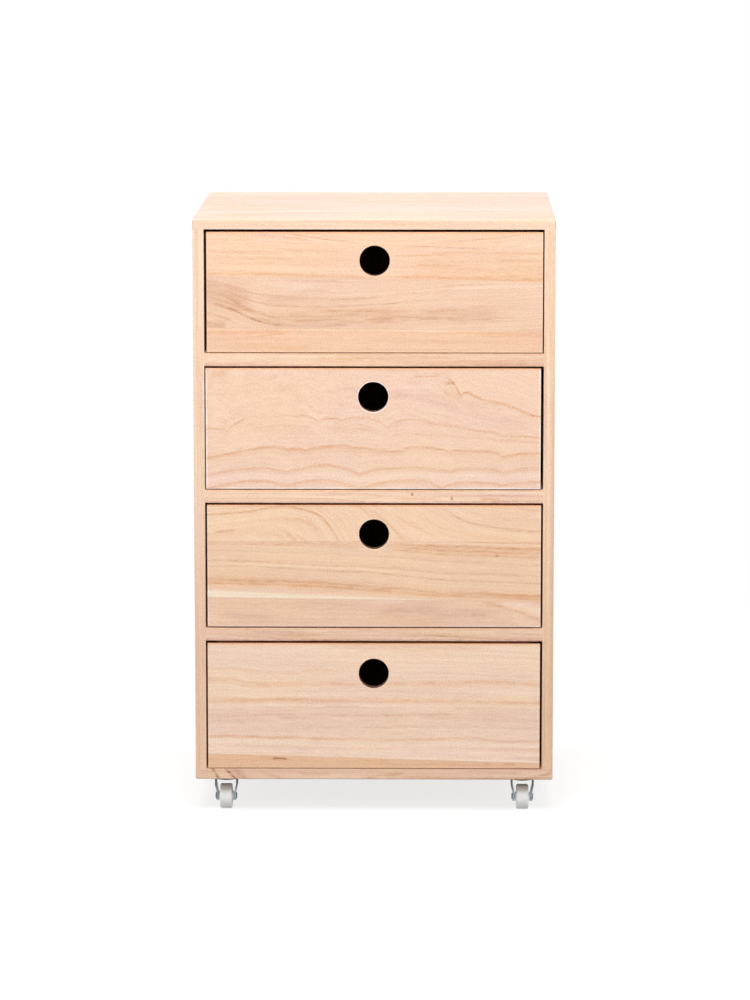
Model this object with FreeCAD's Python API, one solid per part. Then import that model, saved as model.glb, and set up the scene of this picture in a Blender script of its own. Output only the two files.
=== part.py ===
import FreeCAD, Part
import math
import os

# Four-drawer chest of pale solid wood, standing on four swivel casters.
# Millimetres, +Z up. The origin is on the floor under the middle of the chest, and the front faces -Y.
# Every loose piece is a solid of its own. Fasteners of one kind share a node.

# Carcass
width = 360.0
depth = 340.0
side_thickness = 11.0
top_thickness = 10.0
bottom_thickness = 11.0
upper_opening = 123.5
second_opening = 124.5
third_opening = 127.0
lower_opening = 131.0
edge_round = 1.5

# Divider rails and drawer runners
rail_height = 13.0
rail_depth = 32.0
rail_round = 0.6
runner_width = 14.0
runner_round = 0.8

# Back panel, set into a rebate round the back of the carcass
back_thickness = 4.0
rebate_depth = 5.0
rebate_width = 5.0
back_clearance = 0.3

# Drawer box
front_thickness = 12.0
front_side_gap = 1.95
front_round = 0.8
front_lap = 6.0
box_thickness = 9.0
box_round = 0.8
box_drop = 6.0
box_stop_gap = 0.3
box_running_gap = 0.3
floor_thickness = 3.0
floor_lift = 7.0
groove_depth = 4.0
groove_clearance = 0.2
hole_diameter = 30.0
hole_round = 0.6

# Each front is trimmed and bored a little differently. The drawers are counted from the top.
front_top_gaps = (2.7, 2.05, 2.25, 2.7)
front_bottom_gaps = (0.8, 1.1, 1.4, 0.6)
hole_drops = (28.4, 28.6, 29.2, 30.4)

# Each drawer lies a little to one side of its opening, as a share of the gap beside it
drawer_shift_shares = (0.33, -0.41, 0.0, -0.13)

# Dowels that join the carcass panels and rails
dowel_diameter = 6.0
dowel_in_face = 7.0
dowel_in_end = 15.0
dowel_chamfer = 0.8
dowel_end_gap = 0.3
panel_dowel_shares = (0.12, 0.5, 0.86)
rail_dowel_shares = (0.28, 0.72)

# Countersunk screws that hold the runners to the sides
runner_screw_diameter = 3.0
runner_screw_length = 20.0
runner_screw_head = 6.0
runner_screw_shares = (0.1, 0.5, 0.9)

# Pan-head screws that hold the casters to the bottom panel
caster_screw_diameter = 3.2
caster_screw_length = 9.0
caster_screw_head = 6.2
caster_screw_head_height = 1.9

# Cross recess in both kinds of screw
recess_width = 0.8
recess_depth = 0.9
recess_share = 0.55

# Nails in the back panel and brads in the drawer corners
nail_diameter = 1.5
nail_length = 16.0
nail_head = 3.2
nail_head_height = 0.7
nail_column_shares = (0.06, 0.35, 0.65, 0.94)
nail_row_shares = (0.2, 0.4, 0.6, 0.8)
brad_diameter = 1.4
brad_length = 24.0
brad_head = 2.4
brad_head_height = 0.8
brad_shares = (0.22, 0.5, 0.78)

# Casters: a white wheel in a bent steel fork, which swivels on balls under a screwed plate
caster_inset_x = 30.0
caster_inset_y = 30.0
wheel_diameter = 25.0
wheel_width = 12.4
wheel_trail = 8.0
wheel_round = 1.6
wheel_dish = 1.4
wheel_rim = 3.2
wheel_side_gap = 1.7
wheel_crown_gap = 4.3
hub_diameter = 9.0
hub_end_gap = 0.3
axle_diameter = 4.0
axle_head = 6.6
axle_head_height = 1.0
fork_thickness = 2.0
fork_root = 12.0
fork_bend = 2.2
fork_knee_round = 8.0
fork_end_radius = 4.8
fork_knee_drop = 5.5
fork_flat_rise = 4.0
crown_thickness = 1.5
skirt_thickness = 1.4
skirt_ball_gap = 1.1
skirt_plate_gap = 0.4
ball_diameter = 2.8
ball_count = 12
ball_seat = 0.4
ball_clearance = 0.1
race_radius = 7.8
kingpin_diameter = 5.0
kingpin_head = 8.4
kingpin_head_height = 1.4
kingpin_cap_height = 0.6
kingpin_gap = 0.2
plate_x = 38.0
plate_y = 32.0
plate_thickness = 1.2
plate_corner = 4.0
plate_hole_x = 28.0
plate_hole_y = 22.0

# Fits and cutting allowances
fixed_clearance = 0.05
running_clearance = 0.08
overrun = 2.0
same_place = 1e-4

# Places worked out from the sizes above
half_width = width / 2
half_depth = depth / 2
front_y = -half_depth
back_y = half_depth
inner_x = half_width - side_thickness
back_face = back_y - rebate_depth
openings = (upper_opening, second_opening, third_opening, lower_opening)
race_gap = ball_diameter - 2 * ball_seat
wheel_radius = wheel_diameter / 2
crown_under = wheel_diameter + wheel_crown_gap
crown_top = crown_under + crown_thickness
plate_under = crown_top + race_gap
carcass_under = plate_under + plate_thickness
floor_top = carcass_under + bottom_thickness
top_under = floor_top + sum(openings) + rail_height * (len(openings) - 1)
carcass_top = top_under + top_thickness
skirt_inner = race_radius + ball_diameter / 2 + skirt_ball_gap
crown_radius = skirt_inner + skirt_thickness
fork_axle_half = wheel_width / 2 + wheel_side_gap + fork_thickness
hub_half = fork_axle_half - fork_thickness - hub_end_gap
rail_back = front_y + rail_depth
drawer_back = back_face - box_stop_gap
drawer_width = 2 * (inner_x - front_side_gap)

UP = FreeCAD.Vector(0, 0, 1)
RIGHT = FreeCAD.Vector(1, 0, 0)
FORWARD = FreeCAD.Vector(0, -1, 0)
SIDES = (("left", -1), ("right", 1))


def point(x, y, z):
    return FreeCAD.Vector(x, y, z)


def box(x0, x1, y0, y1, z0, z1):
    return Part.makeBox(x1 - x0, y1 - y0, z1 - z0, point(x0, y0, z0))


def sided_box(side, x0, x1, y0, y1, z0, z1):
    """A box whose x runs from x0 to x1 on the left or right, as side is -1 or 1."""
    return box(min(side * x0, side * x1), max(side * x0, side * x1), y0, y1, z0, z1)


def edges_on(shape, **planes):
    """The edges that lie on each named plane, such as y=front_y, z=carcass_top."""

    def lies_on(vertex):
        return all(abs(getattr(vertex.Point, axis) - value) < same_place for axis, value in planes.items())

    return [edge for edge in shape.Edges if all(lies_on(vertex) for vertex in edge.Vertexes)]


def eased(shape, radius, *corners):
    """The shape with its edges on each pair of planes rounded over."""
    edges = [edge for planes in corners for edge in edges_on(shape, **planes)]
    return shape.makeFillet(radius, edges)


def turned(outline):
    """A solid of revolution about Z from (radius, height) points."""
    corners = [point(radius, 0, height) for radius, height in outline]
    face = Part.Face(Part.makePolygon(corners + corners[:1]))
    return face.revolve(point(0, 0, 0), UP, 360)


def placed(shape, at, direction=UP):
    """A copy of a shape modelled along +Z, turned to a direction and moved to a point."""
    copy = shape.copy()
    copy.Placement = FreeCAD.Placement(at, FreeCAD.Rotation(UP, direction))
    return copy


def bore(diameter, at, direction, length):
    return Part.makeCylinder(diameter / 2, length, at, direction)


def along(start, end, share):
    return start + (end - start) * share


def save(name, *solids):
    Part.makeCompound(list(solids)).exportStep(os.path.join("parts", name + ".step"))


# Where each drawer opening starts, counted from the top
def opening_floor(index):
    below = openings[index + 1:]
    return floor_top + sum(below) + rail_height * len(below)


# Fasteners, modelled with the seat of the head at zero and the point towards +Z
def dowel():
    radius = dowel_diameter / 2
    return turned((
        (0, -dowel_in_face),
        (radius - dowel_chamfer, -dowel_in_face),
        (radius, dowel_chamfer - dowel_in_face),
        (radius, dowel_in_end - dowel_chamfer),
        (radius - dowel_chamfer, dowel_in_end),
        (0, dowel_in_end),
    ))


def cross_recess(head_diameter, face):
    """Two crossed slots, cut into a screw head from its face towards the point."""
    reach = head_diameter * recess_share / 2
    half = recess_width / 2
    return [
        box(-reach, reach, -half, half, face - overrun, face + recess_depth),
        box(-half, half, -reach, reach, face - overrun, face + recess_depth),
    ]


def runner_screw():
    radius = runner_screw_diameter / 2
    head = runner_screw_head / 2
    body = turned((
        (0, 0),
        (head, 0),
        (radius, head - radius),
        (radius, runner_screw_length - runner_screw_diameter),
        (0, runner_screw_length),
    ))
    return body.cut(cross_recess(runner_screw_head, 0))


def runner_screw_seat():
    """The countersunk hole that a runner screw sits in."""
    radius = runner_screw_diameter / 2 + fixed_clearance
    head = runner_screw_head / 2 + fixed_clearance
    return turned((
        (0, -overrun),
        (head, -overrun),
        (head, 0),
        (radius, head - radius),
        (radius, runner_screw_length + dowel_end_gap),
        (0, runner_screw_length + dowel_end_gap),
    ))


def caster_screw():
    radius = caster_screw_diameter / 2
    head = caster_screw_head / 2
    body = turned((
        (0, -caster_screw_head_height),
        (head - caster_screw_head_height / 2, -caster_screw_head_height),
        (head, -caster_screw_head_height / 2),
        (head, 0),
        (radius, 0),
        (radius, caster_screw_length - caster_screw_diameter),
        (0, caster_screw_length),
    ))
    return body.cut(cross_recess(caster_screw_head, -caster_screw_head_height))


def pin_with_head(diameter, length, head, head_height, sunk):
    """A nail: a round head and a pointed shank. A sunk head lies below the seat, a proud one above it."""
    radius = diameter / 2
    face = 0 if sunk else -head_height
    return turned((
        (0, face),
        (head / 2, face),
        (head / 2, face + head_height),
        (radius, face + head_height),
        (radius, length - diameter),
        (0, length),
    ))


def nail_seat(diameter, length, head, head_height, sunk):
    """The hole that a nail leaves in the wood."""
    radius = diameter / 2 + fixed_clearance
    hole = bore(2 * radius, point(0, 0, 0), UP, length + fixed_clearance)
    if not sunk:
        return hole
    pocket = bore(head + 2 * fixed_clearance, point(0, 0, -overrun), UP, head_height + overrun)
    return hole.fuse(pocket)


# Places of the fasteners: lists of (point, direction towards the tip)
def panel_dowels():
    """Dowels between the sides and the top and bottom panels, with the long end in the side."""
    middle = half_width - side_thickness / 2
    ends = ((top_under, -UP), (floor_top, UP))
    return [
        (point(side * middle, along(front_y, back_y, share), height), direction)
        for _, side in SIDES
        for height, direction in ends
        for share in panel_dowel_shares
    ]


def rail_dowels(index):
    """Dowels between one divider rail and the two sides, with the long end in the rail."""
    height = opening_floor(index) - rail_height / 2
    return [
        (point(side * inner_x, along(front_y, rail_back, share), height), RIGHT * -side)
        for _, side in SIDES
        for share in rail_dowel_shares
    ]


def runner_screws(index, side):
    height = opening_floor(index) - rail_height / 2
    face = side * (inner_x - runner_width)
    return [
        (point(face, along(rail_back, back_face, share), height), RIGHT * side)
        for share in runner_screw_shares
    ]


def back_nails():
    """Nails through the back panel's margin into the edge of the carcass behind it."""
    face = back_face + back_thickness
    across = inner_x + rebate_width / 2
    low = floor_top - rebate_width / 2
    high = top_under + rebate_width / 2
    columns = [point(side * across, face, along(low, high, share)) for _, side in SIDES for share in nail_row_shares]
    rows = [point(along(-across, across, share), face, z) for z in (low, high) for share in nail_column_shares]
    return [(at, FORWARD) for at in columns + rows]


def caster_places():
    x = half_width - caster_inset_x
    y = half_depth - caster_inset_y
    return {
        "front_left": point(-x, -y, 0),
        "front_right": point(x, -y, 0),
        "back_left": point(-x, y, 0),
        "back_right": point(x, y, 0),
    }


def caster_screws():
    """Four screws through each caster plate, driven upwards."""
    return [
        (place + point(sx * plate_hole_x / 2, sy * plate_hole_y / 2, plate_under), UP)
        for place in caster_places().values()
        for sx in (-1, 1)
        for sy in (-1, 1)
    ]


def dowel_holes(places):
    size = dowel_diameter + 2 * fixed_clearance
    length = dowel_in_face + dowel_in_end + 2 * dowel_end_gap
    return [bore(size, at - way * (dowel_in_face + dowel_end_gap), way, length) for at, way in places]


def back_nail_holes():
    seat = nail_seat(nail_diameter, nail_length, nail_head, nail_head_height, False)
    return [placed(seat, at, way) for at, way in back_nails()]


# Carcass panels
def back_pocket():
    """The space that the back panel's rebate takes out of the carcass."""
    reach = inner_x + rebate_width
    return box(-reach, reach, back_face, back_y + overrun, floor_top - rebate_width, top_under + rebate_width)


def top_panel():
    panel = box(-half_width, half_width, front_y, back_y, top_under, carcass_top)
    panel = eased(panel, edge_round, {"z": carcass_top}, *upright_corners())
    return panel.cut([back_pocket()] + dowel_holes(panel_dowels()) + back_nail_holes())


def bottom_panel():
    panel = box(-half_width, half_width, front_y, back_y, carcass_under, floor_top)
    panel = eased(panel, edge_round, {"z": carcass_under}, *upright_corners())
    pilot = caster_screw_diameter + 2 * fixed_clearance
    pilots = [bore(pilot, at, way, caster_screw_length + dowel_end_gap) for at, way in caster_screws()]
    return panel.cut([back_pocket()] + dowel_holes(panel_dowels()) + back_nail_holes() + pilots)


def upright_corners():
    return [{"x": x, "y": y} for x in (-half_width, half_width) for y in (front_y, back_y)]


def side_panel(side):
    panel = sided_box(side, inner_x, half_width, front_y, back_y, floor_top, top_under)
    panel = eased(panel, edge_round, *[{"x": side * half_width, "y": y} for y in (front_y, back_y)])
    joints = panel_dowels() + [place for index in range(len(openings) - 1) for place in rail_dowels(index)]
    seat = runner_screw_seat()
    screws = [
        placed(seat, at, way) for index in range(len(openings) - 1) for at, way in runner_screws(index, side)
    ]
    return panel.cut([back_pocket()] + dowel_holes(joints) + back_nail_holes() + screws)


def back_panel():
    reach = inner_x + rebate_width - back_clearance
    low = floor_top - rebate_width + back_clearance
    high = top_under + rebate_width - back_clearance
    panel = box(-reach, reach, back_face, back_face + back_thickness, low, high)
    return panel.cut(back_nail_holes())


def divider_rail(index):
    top = opening_floor(index)
    rail = box(-inner_x, inner_x, front_y, rail_back, top - rail_height, top)
    rail = eased(rail, rail_round, *[{"y": front_y, "z": z} for z in (top - rail_height, top)])
    return rail.cut(dowel_holes(rail_dowels(index)))


def drawer_runner(index, side):
    top = opening_floor(index)
    bottom = top - rail_height
    inner = inner_x - runner_width
    runner = sided_box(side, inner, inner_x, rail_back, back_face, bottom, top)
    runner = eased(runner, runner_round, *[{"x": side * inner, "z": z} for z in (bottom, top)])
    return runner.cut([placed(runner_screw_seat(), at, way) for at, way in runner_screws(index, side)])


# Drawers
class Drawer:
    """The places that the pieces of one drawer share."""

    def __init__(self, index):
        self.middle = drawer_shift_shares[index] * front_side_gap
        self.left = self.middle - drawer_width / 2
        self.right = self.middle + drawer_width / 2
        self.low = opening_floor(index) + front_bottom_gaps[index]
        self.high = opening_floor(index) + openings[index] - front_top_gaps[index]
        self.hole_height = self.high - hole_drops[index]
        self.box_low = opening_floor(index) + box_running_gap
        self.box_high = self.high - box_drop
        self.lap_y = front_y + front_lap
        self.inside_y = front_y + front_thickness
        self.rear_y = drawer_back - box_thickness
        self.floor_low = self.box_low + floor_lift
        self.floor_high = self.floor_low + floor_thickness

    def groove(self):
        """The slot round the inside of the box that holds the drawer's floor."""
        reach = drawer_width / 2 - box_thickness + groove_depth
        return box(
            self.middle - reach, self.middle + reach,
            self.inside_y - groove_depth, self.rear_y + groove_depth,
            self.floor_low - groove_clearance, self.floor_high + groove_clearance,
        )

    def outer(self, side):
        return self.left if side < 0 else self.right

    def brads(self):
        """Brads driven through the sides into the ends of the front and the back."""
        tongue = (self.lap_y + self.inside_y) / 2
        rear = (self.rear_y + drawer_back) / 2
        return [
            (point(self.outer(side), y, along(self.box_low, self.box_high, share)), RIGHT * -side)
            for _, side in SIDES
            for y in (tongue, rear)
            for share in brad_shares
        ]

    def brad_holes(self):
        seat = nail_seat(brad_diameter, brad_length, brad_head, brad_head_height, True)
        return [placed(seat, at, way) for at, way in self.brads()]

    def finger_hole(self):
        centre = point(self.middle, front_y - overrun, self.hole_height)
        return bore(hole_diameter, centre, -FORWARD, front_thickness + 2 * overrun)

    def front(self):
        panel = box(self.left, self.right, front_y, self.inside_y, self.low, self.high)
        rims = [{"y": front_y, "x": x} for x in (self.left, self.right)]
        rims += [{"y": front_y, "z": z} for z in (self.low, self.high)]
        panel = eased(panel, front_round, *rims)
        laps = [
            sided_box(
                side, self.outer(side) * side - box_thickness, self.outer(side) * side + overrun,
                self.lap_y, self.inside_y + overrun, self.low - overrun, self.high + overrun,
            )
            for _, side in SIDES
        ]
        panel = panel.cut(laps + [self.groove(), self.finger_hole()] + self.brad_holes())
        rings = [edge for edge in panel.Edges if self.is_hole_rim(edge)]
        return panel.makeFillet(hole_round, rings)

    def is_hole_rim(self, edge):
        round_edge = isinstance(edge.Curve, Part.Circle)
        return round_edge and abs(edge.Curve.Radius - hole_diameter / 2) < same_place

    def side(self, side):
        outer = self.outer(side) * side
        inner = outer - box_thickness
        panel = sided_box(side, inner, outer, self.lap_y, drawer_back, self.box_low, self.box_high)
        panel = eased(panel, box_round, *[{"x": side * x, "z": self.box_high} for x in (inner, outer)])
        return panel.cut([self.groove()] + self.brad_holes())

    def back(self):
        reach = drawer_width / 2 - box_thickness
        panel = box(
            self.middle - reach, self.middle + reach,
            self.rear_y, drawer_back, self.box_low, self.box_high,
        )
        panel = eased(panel, box_round, *[{"y": y, "z": self.box_high} for y in (self.rear_y, drawer_back)])
        return panel.cut([self.groove()] + self.brad_holes())

    def floor(self):
        reach = drawer_width / 2 - box_thickness + groove_depth - groove_clearance
        return box(
            self.middle - reach, self.middle + reach,
            self.inside_y - groove_depth + groove_clearance, self.rear_y + groove_depth - groove_clearance,
            self.floor_low, self.floor_high,
        )


# Casters, modelled about the swivel axis with the floor at zero
def ball_race():
    """The groove that the balls run in, half in the plate and half in the crown."""
    centre = point(0, 0, (plate_under + crown_top) / 2)
    return Part.makeTorus(race_radius, ball_diameter / 2 + ball_clearance, centre, UP)


def caster_plate():
    plate = box(-plate_x / 2, plate_x / 2, -plate_y / 2, plate_y / 2, plate_under, carcass_under)
    corners = [{"x": x, "y": y} for x in (-plate_x / 2, plate_x / 2) for y in (-plate_y / 2, plate_y / 2)]
    plate = eased(plate, plate_corner, *corners)
    holes = [
        bore(caster_screw_diameter + 2 * fixed_clearance, point(x, y, plate_under - overrun), UP,
             plate_thickness + 2 * overrun)
        for x in (-plate_hole_x / 2, plate_hole_x / 2)
        for y in (-plate_hole_y / 2, plate_hole_y / 2)
    ]
    shaft = bore(kingpin_diameter + 2 * fixed_clearance, point(0, 0, 0), UP, carcass_under + overrun)
    cap = bore(kingpin_head + 2 * fixed_clearance, point(0, 0, carcass_under - kingpin_cap_height), UP,
               kingpin_cap_height + overrun)
    return plate.cut(holes + [shaft, cap, ball_race()])


def caster_kingpin():
    """The rivet that the fork swivels on: capped in the plate, with its lower head under the crown."""
    radius = kingpin_diameter / 2
    head = kingpin_head / 2
    head_top = crown_under - kingpin_gap
    head_low = head_top - kingpin_head_height
    return turned((
        (0, head_low),
        (head - kingpin_head_height / 2, head_low),
        (head, head_low + kingpin_head_height / 2),
        (head, head_top),
        (radius, head_top),
        (radius, carcass_under - kingpin_cap_height),
        (head, carcass_under - kingpin_cap_height),
        (head, carcass_under),
        (0, carcass_under),
    ))


def caster_balls():
    height = (plate_under + crown_top) / 2
    turns = [2 * math.pi * index / ball_count for index in range(ball_count)]
    return [
        Part.makeSphere(ball_diameter / 2, point(race_radius * math.cos(turn), race_radius * math.sin(turn), height))
        for turn in turns
    ]


def fork_channel():
    """The bent sheet seen from the front: a U whose legs step in to the wheel, run along Y."""
    knee = crown_under - fork_knee_drop
    flat = wheel_radius + fork_flat_rise
    low = wheel_radius - fork_end_radius - overrun
    right = (
        (fork_axle_half, low),
        (fork_axle_half, flat),
        (crown_radius, knee),
        (crown_radius, crown_top),
    )
    inner = [(x - fork_thickness, min(z, crown_under)) for x, z in right]
    outline = [(-x, z) for x, z in right] + list(reversed(right)) + inner
    outline += [(-x, z) for x, z in reversed(inner)]
    reach = wheel_trail + wheel_radius + fork_root
    corners = [point(x, -reach, z) for x, z in outline]
    sheet = Part.Face(Part.makePolygon(corners + corners[:1])).extrude(point(0, 2 * reach, 0))
    bends = right[1:3] + tuple(inner[1:3])
    sheet = eased(sheet, fork_knee_round, *[{"x": side * x, "z": z} for x, z in bends for _, side in SIDES])
    return eased(sheet, fork_bend, *[{"x": side * crown_radius, "z": crown_top} for _, side in SIDES])


def tangent_point(start, centre, radius, side):
    """Where a line from start touches a circle, ahead of its centre (-1) or behind it (1)."""
    way = centre - start
    turn = math.atan2(way.z, way.y) - side * (math.pi / 2 - math.asin(radius / way.Length)) + math.pi
    return centre + point(0, math.cos(turn), math.sin(turn)) * radius


def fork_outline():
    """The fork seen from the side: a root under the crown, tapering to a round end at the axle."""
    axle = point(0, -wheel_trail, wheel_radius)
    ahead = point(0, -fork_root / 2, crown_under)
    behind = point(0, fork_root / 2, crown_under)
    lift = point(0, 0, crown_thickness)
    ahead_touch = tangent_point(ahead, axle, fork_end_radius, -1)
    behind_touch = tangent_point(behind, axle, fork_end_radius, 1)
    round_end = axle + (axle - (ahead + behind) / 2).normalize() * fork_end_radius
    lines = [ahead_touch, ahead, ahead + lift, behind + lift, behind, behind_touch]
    edges = [Part.LineSegment(a, b).toShape() for a, b in zip(lines, lines[1:])]
    edges.append(Part.Arc(behind_touch, round_end, ahead_touch).toShape())
    reach = crown_radius + overrun
    face = Part.Face(Part.Wire(edges))
    face.translate(point(-reach, 0, 0))
    return face.extrude(point(2 * reach, 0, 0))


def caster_fork():
    sheet = fork_channel().common(fork_outline())
    crown = Part.makeCylinder(crown_radius, crown_thickness, point(0, 0, crown_under))
    skirt_height = race_gap - skirt_plate_gap
    skirt = Part.makeCylinder(crown_radius, skirt_height, point(0, 0, crown_top))
    well = Part.makeCylinder(skirt_inner, skirt_height + overrun, point(0, 0, crown_top))
    fork = sheet.fuse(crown).fuse(skirt.cut(well))
    shaft = bore(kingpin_diameter + 2 * running_clearance, point(0, 0, 0), UP, carcass_under)
    axle_size = axle_diameter + 2 * fixed_clearance
    axle = bore(axle_size, point(-crown_radius, -wheel_trail, wheel_radius), RIGHT, 2 * crown_radius)
    return fork.cut([shaft, axle, ball_race()]).removeSplitter()


def caster_axle():
    radius = axle_diameter / 2
    head = axle_head / 2
    end = fork_axle_half + axle_head_height
    half = (
        (head - axle_head_height / 2, end),
        (head, end - axle_head_height / 2),
        (head, fork_axle_half),
        (radius, fork_axle_half),
    )
    lower = [(r, -z) for r, z in half]
    pin = turned([(0, -end)] + lower + list(reversed(half)) + [(0, end)])
    return placed(pin, point(0, -wheel_trail, wheel_radius), RIGHT)


def caster_wheel():
    """A moulded wheel: rounded tread, dished faces and a hub that spaces it in the fork."""
    bore_radius = axle_diameter / 2 + running_clearance
    half = wheel_width / 2
    side = (
        (wheel_radius, half),
        (wheel_radius - wheel_rim, half),
        (wheel_radius - wheel_rim - wheel_dish, half - wheel_dish),
        (hub_diameter / 2, half - wheel_dish),
        (hub_diameter / 2, hub_half),
        (bore_radius, hub_half),
    )
    outline = list(side) + [(r, -z) for r, z in reversed(side)]
    wheel = turned(outline)
    wheel = eased(wheel, wheel_round, {"z": half, "x": wheel_radius}, {"z": -half, "x": wheel_radius})
    return placed(wheel, point(0, -wheel_trail, wheel_radius), RIGHT)


def save_carcass():
    save("top_panel", top_panel())
    save("bottom_panel", bottom_panel())
    save("back_panel", back_panel())
    for name, side in SIDES:
        save(name + "_side_panel", side_panel(side))
    joints = panel_dowels()
    screws = []
    for index in range(len(openings) - 1):
        number = str(index + 1)
        save("divider_rail_" + number, divider_rail(index))
        joints += rail_dowels(index)
        for name, side in SIDES:
            save("runner_" + number + "_" + name, drawer_runner(index, side))
            screws += runner_screws(index, side)
    save("carcass_dowels", *[placed(dowel(), at, way) for at, way in joints])
    save("runner_screws", *[placed(runner_screw(), at, way) for at, way in screws])
    nail = pin_with_head(nail_diameter, nail_length, nail_head, nail_head_height, False)
    save("back_panel_nails", *[placed(nail, at, way) for at, way in back_nails()])


def save_drawers():
    brad = pin_with_head(brad_diameter, brad_length, brad_head, brad_head_height, True)
    for index in range(len(openings)):
        drawer = Drawer(index)
        name = "drawer_" + str(index + 1) + "_"
        save(name + "front", drawer.front())
        for side_name, side in SIDES:
            save(name + side_name + "_side", drawer.side(side))
        save(name + "back", drawer.back())
        save(name + "bottom", drawer.floor())
        save(name + "brads", *[placed(brad, at, way) for at, way in drawer.brads()])


def save_casters():
    pieces = {"plate": caster_plate(), "fork": caster_fork(), "axle": caster_axle(), "wheel": caster_wheel()}
    places = caster_places()
    for corner, place in places.items():
        for piece, shape in pieces.items():
            save("caster_" + corner + "_" + piece, shape.translated(place))
    save("caster_kingpins", *[caster_kingpin().translated(place) for place in places.values()])
    save("caster_balls", *[ball.translated(place) for place in places.values() for ball in caster_balls()])
    save("caster_screws", *[placed(caster_screw(), at, way) for at, way in caster_screws()])


def main():
    os.makedirs("parts", exist_ok=True)
    save_carcass()
    save_drawers()
    save_casters()


if __name__ == "__main__":
    main()
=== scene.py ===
import math
from collections import namedtuple

import bpy
from mathutils import Color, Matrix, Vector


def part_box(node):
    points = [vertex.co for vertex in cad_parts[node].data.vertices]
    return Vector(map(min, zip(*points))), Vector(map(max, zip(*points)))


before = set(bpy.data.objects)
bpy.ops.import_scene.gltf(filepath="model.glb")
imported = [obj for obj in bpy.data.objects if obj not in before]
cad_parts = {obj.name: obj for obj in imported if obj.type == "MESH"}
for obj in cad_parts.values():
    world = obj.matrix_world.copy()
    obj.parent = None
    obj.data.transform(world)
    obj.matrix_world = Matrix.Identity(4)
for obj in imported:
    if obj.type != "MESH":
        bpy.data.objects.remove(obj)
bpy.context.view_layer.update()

# Lengths are in metres where objects are placed and in millimetres inside the materials.
MM_PER_M = 1000.0
WHITE = (1.0, 1.0, 1.0, 1.0)

# Camera
CAMERA_PLACE = (0.05507, -4.48925, 0.96911)
CAMERA_PITCH = -8.556
CAMERA_YAW = 0.717
CAMERA_LENS = 157.395
CAMERA_SENSOR = 36.0
CAMERA_FAR = 200.0
# The tilt of a camera that looks at the horizon
CAMERA_LEVEL = 90.0

# Light. A softbox has its place, the point that it faces, its size and its power.
SKY_LOW = 0.10
SKY_HIGH = 0.88
SKY_RISE = (0.0, 0.75)
SOFTBOXES = {
    "key_softbox": ((-0.05, -1.15, 1.75), (0.0, -0.1, 0.5), (1.2, 0.8), 22.0),
    "overhead_softbox": ((0.0, 0.3, 2.4), (0.0, 0.0, 0.6), (1.6, 1.6), 2.0),
    "rear_softbox": ((0.0, 2.0, 0.3), (0.0, 0.0, 0.3), (2.2, 0.54), 13.0),
    "left_softbox": ((-2.0, 0.45, 0.3), (0.0, 0.05, 0.3), (0.9, 0.54), 6.0),
    "right_softbox": ((2.0, 0.45, 0.3), (0.0, 0.05, 0.3), (0.9, 0.54), 6.0),
}

# Floor
FLOOR_HALF = 60.0
FLOOR_SHADE = 0.55
FLOOR_SHADOW = 0.26
FLOOR_GLOW = 0.77
FLOOR_FADE = (0.45, 1.5)

CORNERS = ("front_left", "front_right", "back_left", "back_right")
DRAWERS = (1, 2, 3, 4)
RAILS = (1, 2, 3)

# The colour sockets of a Mix node
MIX_SHARE, MIX_FIRST, MIX_SECOND, MIX_OUT = 0, 6, 7, 2

# Noise: its size in millimetres along, across and through the grain, its detail and roughness, and a soft step on it
Grain = namedtuple("Grain", "size detail rough step", defaults=(1.0, 0.5, None))


def linear(rgb):
    """A display colour of three numbers up to 255 as scene-linear RGBA."""
    shown = Color([value / 255.0 for value in rgb])
    return (*shown.from_srgb_to_scene_linear(), 1.0)


def tinted(colour, tint):
    """A linear colour with each channel multiplied."""
    return tuple(min(a * b, 1.0) for a, b in zip(colour[:3], tint)) + (1.0,)


class Shade:
    """A number that varies over a surface. Sums and products of shades add nodes to the material."""

    def __init__(self, paint, socket):
        self.paint = paint
        self.socket = socket

    def __add__(self, other):
        return self.paint.math("ADD", self, other)

    __radd__ = __add__

    def __sub__(self, other):
        return self.paint.math("SUBTRACT", self, other)

    def __rsub__(self, other):
        return self.paint.math("SUBTRACT", other, self)

    def __mul__(self, other):
        return self.paint.math("MULTIPLY", self, other)

    __rmul__ = __mul__

    def __truediv__(self, other):
        return self.paint.math("DIVIDE", self, other)


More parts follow.
